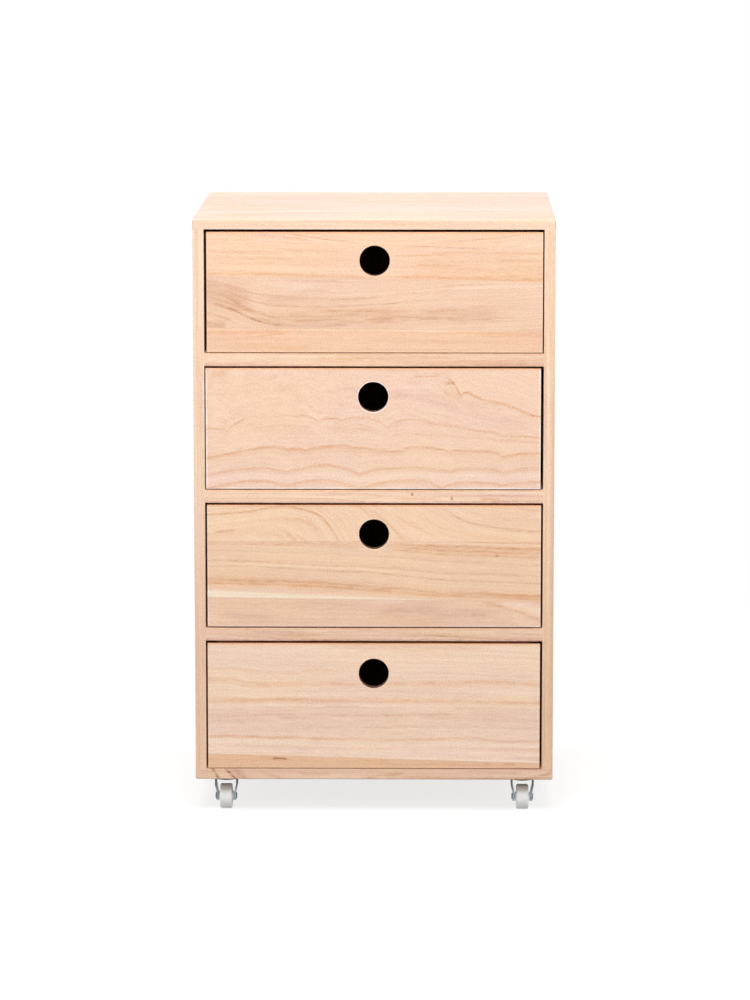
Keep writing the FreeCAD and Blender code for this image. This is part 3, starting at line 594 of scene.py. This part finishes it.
STROKES_4_LOWER = (
    (EVEN, 0.7, 0.62, (-103, 118.3), (-86, 118.9)),
    (GOLD, 1, 0.1, (-118, 117.6), (-84, 118.4)),
    (GOLD, 0.6, 0.1, (-30, 120), (20, 121)),
    (EVEN, 0.6, 0.22, (110, 122.6), (118, 123)),
    (EVEN, 0.6, 0.2, (130, 123.3), (144, 123.8)),
    (GOLD, 0.7, 0.08, (-10, 123.4), (110, 125)),
    (GOLD, 0.7, 0.08, (-170, 119), (-110, 121)),
)

FRONTS = {
    1: (
        Stave((247, 209, 179), (47.2, 0.015, 0.3), 0.14, 0, 0.8, GUIDES_1_UPPER, STROKES_1_UPPER),
        Stave((243, 206, 179), (96.8, 0.007, 0.3), 0.15, 0, 0.93, GUIDES_1_MIDDLE, STROKES_1_MIDDLE),
        Stave((245, 203, 171), None, 0.16, 0.004, 0.85, (), STROKES_1_LOWER),
    ),
    2: (
        Stave((247, 212, 187), None, 0, 0, 0.72, WAVES, STROKES_2_WHOLE),
    ),
    3: (
        Stave((250, 214, 183), (36.6, 0.001, 0.3), 0.16, 0, 0.6, GUIDES_3_UPPER, STROKES_3_UPPER),
        Stave((246, 210, 180), (93.4, 0.043, 1.8), 0.14, 0, 0.66, GUIDES_3_MIDDLE, STROKES_3_MIDDLE),
        Stave((255, 232, 208), (95.4, 0.012, 0.5), 0.05, 0.015, 0.8, (), ()),
        Stave((241, 204, 177), None, 0.05, 0.01, 1.2, (), STROKES_3_LOWER),
    ),
    4: (
        Stave((250, 219, 194), (118, 0.0272, 0.3), 0.1, 0, 0.82, GUIDES_4_UPPER, STROKES_4_UPPER),
        Stave((241, 198, 163), None, 0.12, 0.027, 1, (), STROKES_4_LOWER),
    ),
}

# The lines of the grain: the range of the curves that give their drops, how far apart the grain takes two of them to
# be, and how far apart it takes two staves to be
GUIDE_WIDTH = 340.0
GUIDE_LIFT = 40.0
GUIDE_DEEP = 200.0
GUIDE_STEP = 14.0
STAVE_STEP = 300.0
# Noise on the fronts, and what it does
SWAY = Grain((46.0, 16.0, 30.0), 2.0)
RIPPLE = Grain((6.0, 4.0, 6.0), 2.0)
PATCHES = Grain((75.0, 20.0, 40.0), step=(0.25, 0.75))
MOTTLE = Grain((26.0, 5.0, 10.0), 2.0, step=(0.3, 0.7))
BEAT = Grain((500.0, 4.5, 20.0), 2.0, step=(0.5, 0.72))
LONG_SPECK = Grain((9.0, 0.8, 2.0), step=(0.4, 0.6))
ROUND_SPECK = Grain((2.2, 1.1, 2.0), step=(0.4, 0.6))
FRONT_SPECKS = {1: LONG_SPECK, 2: ROUND_SPECK, 3: LONG_SPECK, 4: LONG_SPECK}
FRONT_STREAKS = {1: 0.6, 2: 0.35, 3: 0.6, 4: 0.65}
GRAIN_LEAN = 0.5
SWAY_REACH = 2.0
RIPPLE_REACH = 0.7
MOTTLE_RANGE = (0.65, 1.35)
SPECK_RANGE = (0.4, 1.0)
PATCH_RANGE = (0.3, 1.0)
# How much lower than the drops the top edge lies
FRONT_TRIMS = {1: 0.5, 2: -0.15, 3: 0.05, 4: 0.5}
# Joints with less blur than this show a seam
SEAM_BLUR = 1.0
SEAM_EDGE = (0.2, 0.7)
SEAM_SHADE = 0.06
HOLE_RADIUS = 15.0
HOLE_DROPS = {1: 28.4, 2: 28.6, 3: 29.2, 4: 30.4}
# Painted shade on the top lip below the gap and on the bored wall of the hole, and how much paler a painted highlight
# makes the other rims and the ring round the hole
LIP_EDGE = (0.5, 2.0)
LIP_PAINTED_SHADE = 0.24
BORE_EDGE = (0.1, 0.5)
BORE_LEAN = (0.3, 0.8)
BORE_PAINTED_SHADE = 0.86
BORE_HUE = (0.85, 1.0, 1.1)
RIM_EDGE = (0.4, 2.2)
RIM_WANDER = 0.8
RIM_PAINTED_HIGHLIGHTS = {1: 0.10, 2: 0.34, 3: 0.16, 4: 0.02}
HOLE_RIM = 1.4


def guide_drop(paint, across, points):
    """How far below the top edge one growth line lies at each place across the front."""
    share = across / GUIDE_WIDTH + 0.5
    table = [(0.5 + x / GUIDE_WIDTH, (drop + GUIDE_LIFT) / GUIDE_DEEP, *turn) for x, drop, *turn in points]
    return paint.curve(share, table) * GUIDE_DEEP - GUIDE_LIFT


def guided(paint, along, drop, stave):
    """The place across the grain, which follows the stave's guides or its slope."""
    guides = [guide_drop(paint, along, points) for points in stave.guides]
    if not guides:
        return drop - along * stave.slope
    flow = 0.0
    for above, below in zip(guides, guides[1:]):
        flow = paint.math("DIVIDE", drop - above, below - above, clamp=True) * GUIDE_STEP + flow
    return flow + paint.math("MINIMUM", drop - guides[0], 0.0) + paint.math("MAXIMUM", drop - guides[-1], 0.0)


def front_material(number):
    """The wood of one drawer front, as boards glued edge to edge."""
    least, most = ([side * MM_PER_M for side in corner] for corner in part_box("drawer_%d_front" % number))
    paint = Paint("drawer_%d_front_wood_grain" % number)
    along = paint.x - (least[0] + most[0]) / 2
    depth = paint.y - least[1]
    true_drop = most[2] - paint.z
    traced = true_drop + FRONT_TRIMS[number]
    sway = paint.grain(SWAY, along, paint.z, depth) - 0.5
    ripple = paint.grain(RIPPLE, along, paint.z, depth) - 0.5
    drop = traced + depth * GRAIN_LEAN + sway * SWAY_REACH + ripple * RIPPLE_REACH
    speck = paint.grain(FRONT_SPECKS[number], along, drop, depth)
    patchy = paint.grain(PATCHES, along, drop, depth)
    mottle = paint.between(paint.grain(MOTTLE, along, drop, depth), *MOTTLE_RANGE)
    broken = paint.between(speck, *SPECK_RANGE) * paint.between(patchy, *PATCH_RANGE)

    colour = flow = joint = None
    seam = 0.0
    for order, stave in enumerate(FRONTS[number]):
        here = guided(paint, along, drop, stave) + STAVE_STEP * order
        board = cloud_colour(paint, (along, here, depth), linear(stave.tone))
        if stave.grain:
            lines = paint.grain(BEAT, along, here, depth) * broken
            board = golden(paint, board, 1.0 - lines * stave.grain, GOLD)
        board = stroked(paint, board, along, drop, speck, stave.strokes, mottle * stave.weight)
        if joint:
            place, slope, blur = joint
            below = traced - (along * slope + place)
            past = paint.smooth(below, -blur, blur)
            colour = paint.mix(past, colour, board)
            flow = paint.between(past, flow, here)
            if blur < SEAM_BLUR:
                seam = 1.0 - paint.smooth(paint.math("ABSOLUTE", below), *SEAM_EDGE) + seam
        else:
            colour, flow = board, here
        joint = stave.joint

    side = (most[0] - least[0]) / 2 - paint.math("ABSOLUTE", along)
    hole = true_drop - HOLE_DROPS[number]
    hole = paint.math("SQRT", along * along + hole * hole) - HOLE_RADIUS
    # Masks for painted shade on the bored wall and on the top lip below the gap, and for painted highlight on the
    # rims
    bore = (1.0 - paint.smooth(hole, *BORE_EDGE)) * (1.0 - paint.smooth(paint.ny, *BORE_LEAN))
    lip = 1.0 - paint.smooth(true_drop, *LIP_EDGE)
    foot = most[2] - least[2] - true_drop
    rim = paint.math("MINIMUM", paint.math("MINIMUM", side, foot), hole * HOLE_RIM)
    edge = 1.0 - paint.smooth(rim + (patchy - 0.5) * RIM_WANDER, *RIM_EDGE)
    edge = edge * (1.0 - bore) * (1.0 - lip)
    # Painted highlight on the rims and round the hole, and painted shade on the top lip below the gap
    colour = golden(paint, colour, 1.0 + edge * RIM_PAINTED_HIGHLIGHTS[number] - lip * LIP_PAINTED_SHADE, GOLD)
    # Painted shade on the bored wall of the hole
    colour = golden(paint, colour, 1.0 - bore * BORE_PAINTED_SHADE, BORE_HUE)
    if seam != 0.0:
        colour = paint.scaled(colour, 1.0 - seam * SEAM_SHADE)
    return finish_wood(paint, colour, (along, flow, depth), paint.nx, edge, FRONT_STREAKS[number])


# Strokes on the front edges of boards, with drops below the board's upper face. Steep ones swap across and drop.
# Painted shade along a rail's top edge, below the gap above it
RAIL_TOP_SHADE = (GOLD, (0.8, 0.6), 0.2, (-170, 0.2), (170, 0.2))
RAIL_1_STROKES = (
    RAIL_TOP_SHADE,
    # Painted shade along the lower edge, above the gap
    (PLUM, 0.9, 0.14, (-170, 12.4), (170, 12.4)),
    (GOLD, 1, 0.1, (-70, 8.6), (15, 7.4)),
    (GOLD, 0.8, 0.09, (-60, 5.4), (-5, 5)),
    (EVEN, 0.7, 0.08, (-170, 10.4), (-95, 9.4)),
    (EVEN, 0.7, 0.08, (15, 3.4), (95, 4.6)),
    (GOLD, 0.8, 0.1, (60, 8.2), (170, 6.4)),
    (PLUM, 0.8, 0.08, (90, 10.6), (170, 10)),
    (EVEN, 1.6, -0.05, (-170, 6), (-110, 5)),
)
RAIL_2_STROKES = (
    RAIL_TOP_SHADE,
    # Painted shade along the lower edge, above the gap
    (PLUM, 0.9, 0.15, (-170, 12.4), (170, 12.4)),
    (EVEN, 1, 0.5, (36.6, 4), (39.6, 4)),
    (EVEN, 1, 0.5, (76.2, 7.8), (79.4, 7.8)),
    (GOLD, 0.9, 0.1, (15, 8.6), (72, 7.4)),
    (GOLD, 1.3, 0.18, (104, 8.8), (128, 10.4)),
    (PLUM, 1, 0.1, (92, 4.4), (170, 5.8)),
    (PLUM, 0.8, 0.12, (118, 10.4), (170, 11)),
    (EVEN, 0.7, 0.08, (-70, 4), (-20, 4.8)),
    (EVEN, 0.7, 0.08, (-30, 8), (20, 6)),
    (EVEN, 1.8, -0.05, (-170, 6), (-125, 7)),
)
RAIL_3_STROKES = (
    RAIL_TOP_SHADE,
    # Painted shade along the lower edge, above the gap
    (PLUM, (1.4, 1.2), 0.22, (-170, 12.3), (170, 12.3)),
    (PLUM, 1.2, 0.12, (-130, 2.8), (-92, 4.2), (-62, 3.4)),
    (GOLD, 1.2, 0.09, (-100, 8.4), (-50, 6.2)),
    (EVEN, 0.7, 0.08, (-60, 4), (0, 3.4)),
    (EVEN, 0.7, 0.09, (10, 7.6), (120, 8.6)),
    (EVEN, 0.8, 0.09, (110, 3.2), (170, 6.4)),
)
BOTTOM_STROKES = (
    (EVEN, 1, 0.1, (-116, 2.4), (-105, 6), (-92, 10.4)),
    (EVEN, 1.6, 0.13, (-80, 2.4), (-60, 5.6), (-40, 1.6)),
    (GOLD, 0.9, 0.16, (-16, 10), (0, 8), (12, 6), (36, 4.2)),
    (EVEN, 0.9, 0.13, (85, 2.2), (155, 4.8)),
    (EVEN, 0.9, 0.13, (90, 9.8), (156, 10.4)),
    (EVEN, 1.3, 0.22, (146, 12), (165, 8), (179, 3.2)),
    (GOLD, 1.2, 0.1, (20, 8.6), (90, 9.6)),
    (PLUM, 5, 0.06, (-180, 6), (-160, 6)),
)
BOTTOM_STEEP = (
    (EVEN, 1.1, 0.4, (-3, -165), (3, -161), (6, -159), (14, -156)),
    (EVEN, (1.2, 1.3), 0.42, (-3, -153), (3, -147), (7, -143), (14, -136.5)),
    (PLUM, 5, 0.2, (-3, -144), (5, -136), (14, -126)),
)
TOP_STROKES = (
    (SUNNY, 7, 0.06, (-180, 5), (180, 5)),
)

# Plain boards: edge-glued staves, each with its own tone and its own place in the log. A board has its tone, its axes
# along, across and through the grain, the width of a stave, a seed, how far the staves are shifted, how strongly the
# growth rings show, its strokes, its steep strokes, and (axis, from, to, level) for a board that grows darker on the
# way.
BOARD_FIELDS = "tone axes stave seed shift strength strokes steep fade"
Board = namedtuple("Board", BOARD_FIELDS, defaults=(0.0, 0.5, (), (), None))
BOX = Board((240, 206, 176), "yzx", 140.0, None, strength=0.4)
RUNNER = Board((226, 190, 158), "yzx", 90.0, None, 30.0)
RAIL = Board(None, "xzy", 200.0, None, 60.0)
BOARDS = {
    "top_panel": ("top_board", Board(
        (242, 212, 195), "xyz", 62.0, 3, 11.0, strokes=TOP_STROKES, fade=("y", -60.0, -172.0, 0.87)
    )),
    "bottom_panel": ("bottom_board", Board(
        (243, 208, 182), "xyz", 62.0, 4, 7.0, strokes=BOTTOM_STROKES, steep=BOTTOM_STEEP
    )),
    # Painted shade: the side board grows darker towards the bottom
    "left_side_panel": ("left_board", Board(
        (251, 219, 192), "zyx", 58.0, 5, 19.0, fade=("z", 440.0, 80.0, 0.875)
    )),
    # Painted shade: the side board grows darker towards the bottom
    "right_side_panel": ("right_board", Board(
        (248, 216, 187), "zyx", 58.0, 6, 3.0, fade=("z", 400.0, 60.0, 0.845)
    )),
    "divider_rail_1": ("rail_1_wood", RAIL._replace(tone=(244, 208, 179), seed=41, strokes=RAIL_1_STROKES)),
    "divider_rail_2": ("rail_2_wood", RAIL._replace(tone=(247, 214, 187), seed=42, strokes=RAIL_2_STROKES)),
    "divider_rail_3": ("rail_3_wood", RAIL._replace(tone=(247, 213, 186), seed=43, strokes=RAIL_3_STROKES)),
    "carcass_dowels": ("dowel_beech", Board((224, 184, 146), "xzy", 30.0, 8, strength=0.3)),
}
# Seeds and shifts of the pieces that come in several copies
SIDE_SEED, BACK_SEED, RUNNER_SEED = 20, 30, 50
SIDE_SHIFT, BACK_SHIFT = 31.0, 23.0
# The log: how far its pith lies aside and below, how it wanders and leans, and how its rings follow each other
LOG_SWAY = Grain((160.0, 60.0, 1.0), 2.0)
LOG_SWAY_REACH = 16.0
PITH_REACH = 90.0
PITH_NEAR = 14.0
PITH_DEEP = 70.0
ASIDE_LEAN = 0.16
DEEP_LEAN = 0.05
LOG_FLAT = 0.8
RING_GAP = 7.0
RING_BEAT = Grain((16.0, 1.0, 1.0))
RING_BEAT_SHARE = 0.8
LATE_RISE, LATE_FALL = (0.25, 0.92), (0.94, 1.0)
LINE_RISE, LINE_FALL = (0.84, 0.93), (0.95, 1.0)
LATE_SHARE = 0.45
LINE_SHARE = 0.55
SPECK = Grain((9.0, 0.8, 1.0), step=(0.4, 0.62))
BOARD_PATCHES = Grain((110.0, 30.0, 30.0), step=(0.2, 0.8))
BOARD_PATCH_RANGE = (0.35, 1.0)
# How the noise moves on from one stave to the next
SWAY_STEP = 7.3
BEAT_STEP = 3.1
FLOW_STEP = 57.0
CLOUD_STEP = 400.0
FIBRE_STEP = 300.0
STAVE_LEVELS = (0.95, 1.04)
STAVE_JOINT = (0.175, 0.63)
STAVE_SEAM = 0.10
# The front edge of a board keeps its tone where the rest fades
EDGE_LEAN = (0.88, 0.99)


def board_material(name, board, upper=0.0):
    """A board with growth rings round a pith that lies outside it. upper is the height of its upper face."""
    paint = Paint(name)
    along, across, through = paint.coordinates(board.axes)
    place = (across + board.shift) / board.stave
    number = paint.math("FLOOR", place)
    first, second, third = paint.dice(number, float(board.seed))
    inside = paint.math("FRACT", place) - 0.5
    sway = paint.grain(LOG_SWAY, along, across, number * SWAY_STEP) - 0.5
    aside = inside * board.stave - (first - 0.5) * PITH_REACH + along * (second - 0.5) * ASIDE_LEAN
    aside = aside + sway * LOG_SWAY_REACH
    deep = through * LOG_FLAT + PITH_NEAR + third * PITH_DEEP + along * (first - 0.5) * DEEP_LEAN
    radius = paint.math("SQRT", aside * aside + deep * deep)
    beat = paint.grain(RING_BEAT, radius, number * BEAT_STEP, 0.0)
    ring = paint.math("FRACT", radius / RING_GAP + beat * RING_BEAT_SHARE)
    speck = paint.grain(SPECK, along, across, through)
    patchy = paint.between(paint.grain(BOARD_PATCHES, along, across, through), *BOARD_PATCH_RANGE)
    late = paint.band(ring, LATE_RISE, LATE_FALL) * LATE_SHARE
    line = paint.band(ring, LINE_RISE, LINE_FALL) * speck * LINE_SHARE
    dark = (late + line) * patchy * board.strength * (0.5 + second)
    tone = linear(board.tone)
    flow = across + number * FLOW_STEP
    colour = cloud_colour(paint, (along + third * CLOUD_STEP, flow, through), tone)
    colour = paint.mix(paint.math("MINIMUM", dark, 1.0), colour, tinted(tone, LATE))
    colour = paint.scaled(colour, paint.between(third, *STAVE_LEVELS))
    seam = 1.0 - paint.smooth((0.5 - paint.math("ABSOLUTE", inside)) * board.stave, *STAVE_JOINT)
    colour = paint.scaled(colour, 1.0 - seam * STAVE_SEAM)
    if board.strokes:
        face = paint.smooth(paint.ny, *FACE_LEAN)
        down = upper - paint.z
        colour = stroked(paint, colour, paint.x, down, speck, board.strokes, face)
        colour = stroked(paint, colour, down, paint.x, speck, board.steep, face)
    # Painted shade towards the bottom of the side boards; the top board grows darker towards its front
    if board.fade:
        axis, start, finish, level = board.fade
        kept = paint.smooth(*paint.coordinates(axis), finish, start)
        if board.strokes:
            kept = paint.math("MAXIMUM", kept, paint.smooth(paint.ny, *EDGE_LEAN))
        colour = golden(paint, colour, paint.between(kept, level, 1.0), EVEN)
    place = (along + first * FIBRE_STEP, flow, through)
    return finish_wood(paint, colour, place, paint.facing(board.axes[0]), paint.corners())


PLY_TONE = (232, 198, 164)
VENEER = Grain((420.0, 90.0, 1.0), 3.0, 0.45)
VENEER_LINES = 16.0
VENEER_RISE, VENEER_FALL = (0.2, 0.9), (0.92, 1.0)
VENEER_SHARE = 0.4
# Each layer and the one across it take this much of the edge together
PLY_PITCH = 2.0
PLY_STEP = (0.45, 0.55)
PLY_DARK = (0.66, 0.58, 0.5)
PLY_PALE = (0.92, 0.9, 0.88)
BACK_PLY_SEED = 9


def plywood_material(name, axes, seed):
    """Rotary-cut veneer with wide wandering lines, and layered edges."""
    paint = Paint(name)
    along, across, through = paint.coordinates(axes)
    hill = paint.grain(VENEER, along + seed * VENEER.size[0], across, 0.0)
    ring = paint.math("FRACT", hill * VENEER_LINES)
    tone = linear(PLY_TONE)
    colour = cloud_colour(paint, (along, across, through), tone)
    colour = paint.mix(paint.band(ring, VENEER_RISE, VENEER_FALL) * VENEER_SHARE, colour, tinted(tone, LATE))
    face = paint.smooth(paint.facing(axes[2]), *FACE_LEAN)
    ply = paint.smooth(paint.math("FRACT", through / PLY_PITCH), *PLY_STEP)
    layered = paint.mix(ply, tinted(tone, PLY_DARK), tinted(tone, PLY_PALE))
    colour = paint.mix(face, layered, colour)
    return finish_wood(paint, colour, (along, across, through), 1.0 - face, paint.corners())


# Metal: its tone where it is bright and where it is dull, and its roughness
Metal = namedtuple("Metal", "bright dull rough")
ZINC = Metal((0.32, 0.40, 0.45, 1.0), (0.15, 0.19, 0.22, 1.0), 0.3)
# Darker zinc: painted shade for the caster plates, which sit in shade under the chest; the back panel nails share it
SHADED_PLATE = Metal((0.20, 0.20, 0.21, 1.0), (0.10, 0.10, 0.11, 1.0), 0.45)
RIVET = Metal((0.16, 0.17, 0.18, 1.0), (0.06, 0.065, 0.07, 1.0), 0.35)
STEEL = Metal((0.50, 0.49, 0.47, 1.0), (0.33, 0.32, 0.31, 1.0), 0.25)
DULLING = Grain((9.0, 9.0, 9.0), 3.0, step=(0.35, 0.7))
SCRATCHES = Grain((0.5, 0.5, 6.0), 2.0)
DULL_SHARE = 0.6
SCRATCH_SHARE = 0.3
RUB_LIFT = 0.12
DULL_ROUGH = 0.15
SCRATCH_ROUGH = 0.12
METAL_RELIEF = 0.5
METAL_BUMP = 0.03
# Painted shade: the crown of a fork is darkened from this height up, where it sits in shade under the chest
CROWN_START = (28.6, 29.4)
CROWN_PAINTED_SHADE = 0.92


def metal_material(name, metal, crown_shade=False):
    """Plated or bright steel with cloudy dulling, fine scratches and rubbed edges."""
    paint = Paint(name)
    cloud = paint.grain(DULLING, paint.x, paint.y, paint.z)
    scratch = paint.grain(SCRATCHES, paint.x, paint.y, paint.z)
    colour = paint.mix(cloud * DULL_SHARE + (scratch - 0.5) * SCRATCH_SHARE, metal.bright, metal.dull)
    level = 1.0 + paint.corners() * RUB_LIFT
    if crown_shade:
        # Painted shade on the crown of the fork, under the chest
        level = level * (1.0 - paint.smooth(paint.z, *CROWN_START) * CROWN_PAINTED_SHADE)
    paint.surface.inputs["Metallic"].default_value = 1.0
    rough = metal.rough + cloud * DULL_ROUGH + (scratch - 0.5) * SCRATCH_ROUGH
    return paint.finished(paint.scaled(colour, level), rough, (scratch + cloud) * METAL_RELIEF, METAL_BUMP)


# Nylon: clean and grimy, with more grime on the tread than on the cheeks
NYLON_TONE = (0.96, 0.97, 0.97, 1.0)
NYLON_GRIME = (0.92, 0.935, 0.93, 1.0)
GRIME = Grain((6.0, 6.0, 6.0), 3.0)
GRIME_STEP = (0.42, 0.68)
GRIME_RANGE = (0.15, 0.60)
MOULDING = Grain((0.7, 0.7, 0.7), 2.0)
TREAD_LEAN = (0.15, 0.5)
NYLON_ROUGH = 0.36
TREAD_ROUGH = 0.16
MOULD_ROUGH = 0.12
MOULD_RELIEF = 0.4
NYLON_BUMP = 0.05


def nylon_material():
    """Moulded white plastic, scuffed grey on the tread."""
    paint = Paint("white_nylon_moulded")
    cloud = paint.grain(GRIME, paint.x, paint.y, paint.z)
    fine = paint.grain(MOULDING, paint.x, paint.y, paint.z)
    tread = 1.0 - paint.smooth(paint.nx, *TREAD_LEAN)
    grime = paint.smooth(cloud, *GRIME_STEP) * paint.between(tread, *GRIME_RANGE)
    rough = NYLON_ROUGH + tread * TREAD_ROUGH + (fine - 0.5) * MOULD_ROUGH
    relief = paint.between(MOULD_RELIEF, cloud, fine)
    return paint.finished(paint.mix(grime, NYLON_TONE, NYLON_GRIME), rough, relief, NYLON_BUMP)


def dress(material, *names):
    """Gives CAD nodes a material."""
    for name in names:
        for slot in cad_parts[name].material_slots:
            slot.material = material


def dress_wood():
    for number in DRAWERS:
        drawer = "drawer_%d_" % number
        dress(front_material(number), drawer + "front")
        sides = BOX._replace(seed=SIDE_SEED + number, shift=SIDE_SHIFT * number)
        dress(board_material(drawer + "box_sides", sides), drawer + "left_side", drawer + "right_side")
        rear = BOX._replace(axes="xzy", seed=BACK_SEED + number, shift=BACK_SHIFT * number)
        dress(board_material(drawer + "box_back", rear), drawer + "back")
        dress(plywood_material(drawer + "floor_ply", "xyz", number), drawer + "bottom")
    for node, (name, board) in BOARDS.items():
        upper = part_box(node)[1][2] * MM_PER_M
        dress(board_material(name, board, upper), node)
    for number in RAILS:
        runner = board_material("runner_%d_wood" % number, RUNNER._replace(seed=RUNNER_SEED + number))
        dress(runner, "runner_%d_left" % number, "runner_%d_right" % number)
    dress(plywood_material("back_ply", "zxy", BACK_PLY_SEED), "back_panel")


def dress_fittings():
    zinc = metal_material("zinc_plate", ZINC)
    crown_shade = metal_material("zinc_fork_crown_painted_shade", ZINC, crown_shade=True)
    plate = metal_material("plate_zinc_painted_shade", SHADED_PLATE)
    rivet = metal_material("dark_rivet", RIVET)
    bright = metal_material("bright_wire", STEEL)
    nylon = nylon_material()
    for corner in CORNERS:
        for piece, material in (("plate", plate), ("fork", crown_shade), ("axle", rivet), ("wheel", nylon)):
            dress(material, "caster_%s_%s" % (corner, piece))
    dress(zinc, "caster_kingpins", "caster_screws")
    dress(plate, "back_panel_nails")
    dress(bright, "runner_screws", "caster_balls")
    dress(bright, *("drawer_%d_brads" % number for number in DRAWERS))


def softbox(name, place, target, size, power):
    """A soft lamp that faces a point."""
    lamp = bpy.data.lights.new(name, "AREA")
    lamp.shape = "RECTANGLE"
    lamp.size, lamp.size_y = size
    lamp.energy = power
    obj = bpy.data.objects.new(name, lamp)
    bpy.context.scene.collection.objects.link(obj)
    obj.location = place
    x, y, z = (b - a for a, b in zip(place, target))
    obj.rotation_euler = (math.atan2(math.hypot(x, y), -z), 0.0, math.atan2(y, x) - math.pi / 2)


def seen_rays(tools):
    """1 for the rays that look at the background, directly or in metal and glass."""
    path = tools.node("ShaderNodeLightPath").outputs
    seen = tools.math("MAXIMUM", path["Is Camera Ray"], path["Is Glossy Ray"])
    return tools.math("MAXIMUM", seen, path["Is Transmission Ray"])


def light_scene():
    world = bpy.data.worlds.new("studio")
    bpy.context.scene.world = world
    world.use_nodes = True
    tools = Nodes(world.node_tree)
    height = tools.split(tools.node("ShaderNodeTexCoord").outputs["Generated"])[2]
    dome = tools.between(tools.smooth(height, *SKY_RISE), SKY_LOW, SKY_HIGH)
    sky = tools.shader("ShaderNodeBackground", WHITE, tools.between(seen_rays(tools), dome, 1.0))
    tools.node("ShaderNodeOutputWorld", sky)
    for name, lamp in SOFTBOXES.items():
        softbox(name, *lamp)


def lay_floor():
    mesh = bpy.data.meshes.new("floor")
    corners = [(x * FLOOR_HALF, y * FLOOR_HALF, 0.0) for x, y in ((-1, -1), (1, -1), (1, 1), (-1, 1))]
    mesh.from_pydata(corners, [], [(0, 1, 2, 3)])
    floor = bpy.data.objects.new("floor", mesh)
    bpy.context.scene.collection.objects.link(floor)
    material = bpy.data.materials.new("pale_floor")
    material.use_nodes = True
    tools = Nodes(material.node_tree)
    paper, shaded = (
        tools.shader("ShaderNodeBsdfDiffuse", (shade, shade, shade, 1.0)) for shade in (FLOOR_SHADE, FLOOR_SHADOW)
    )
    glow, white = (tools.shader("ShaderNodeEmission", WHITE, strength) for strength in (FLOOR_GLOW, 1.0))
    near = tools.shader("ShaderNodeAddShader", shaded, glow)
    place = tools.node("ShaderNodeTexCoord").outputs["Object"]
    reach = tools.node("ShaderNodeVectorMath", place, operation="LENGTH").outputs["Value"]
    seen = tools.shader("ShaderNodeMixShader", tools.smooth(reach, *FLOOR_FADE), near, white)
    tools.node("ShaderNodeOutputMaterial", tools.shader("ShaderNodeMixShader", seen_rays(tools), paper, seen))
    mesh.materials.append(material)


def set_camera():
    lens = bpy.data.cameras.new("camera")
    lens.lens = CAMERA_LENS
    lens.sensor_width = CAMERA_SENSOR
    lens.sensor_fit = "AUTO"
    lens.clip_end = CAMERA_FAR
    camera = bpy.data.objects.new("camera", lens)
    bpy.context.scene.collection.objects.link(camera)
    camera.location = CAMERA_PLACE
    camera.rotation_euler = (math.radians(CAMERA_LEVEL + CAMERA_PITCH), 0.0, math.radians(CAMERA_YAW))
    bpy.context.scene.camera = camera


bpy.context.scene.view_settings.view_transform = "Standard"
dress_wood()
dress_fittings()
light_scene()
lay_floor()
set_camera()
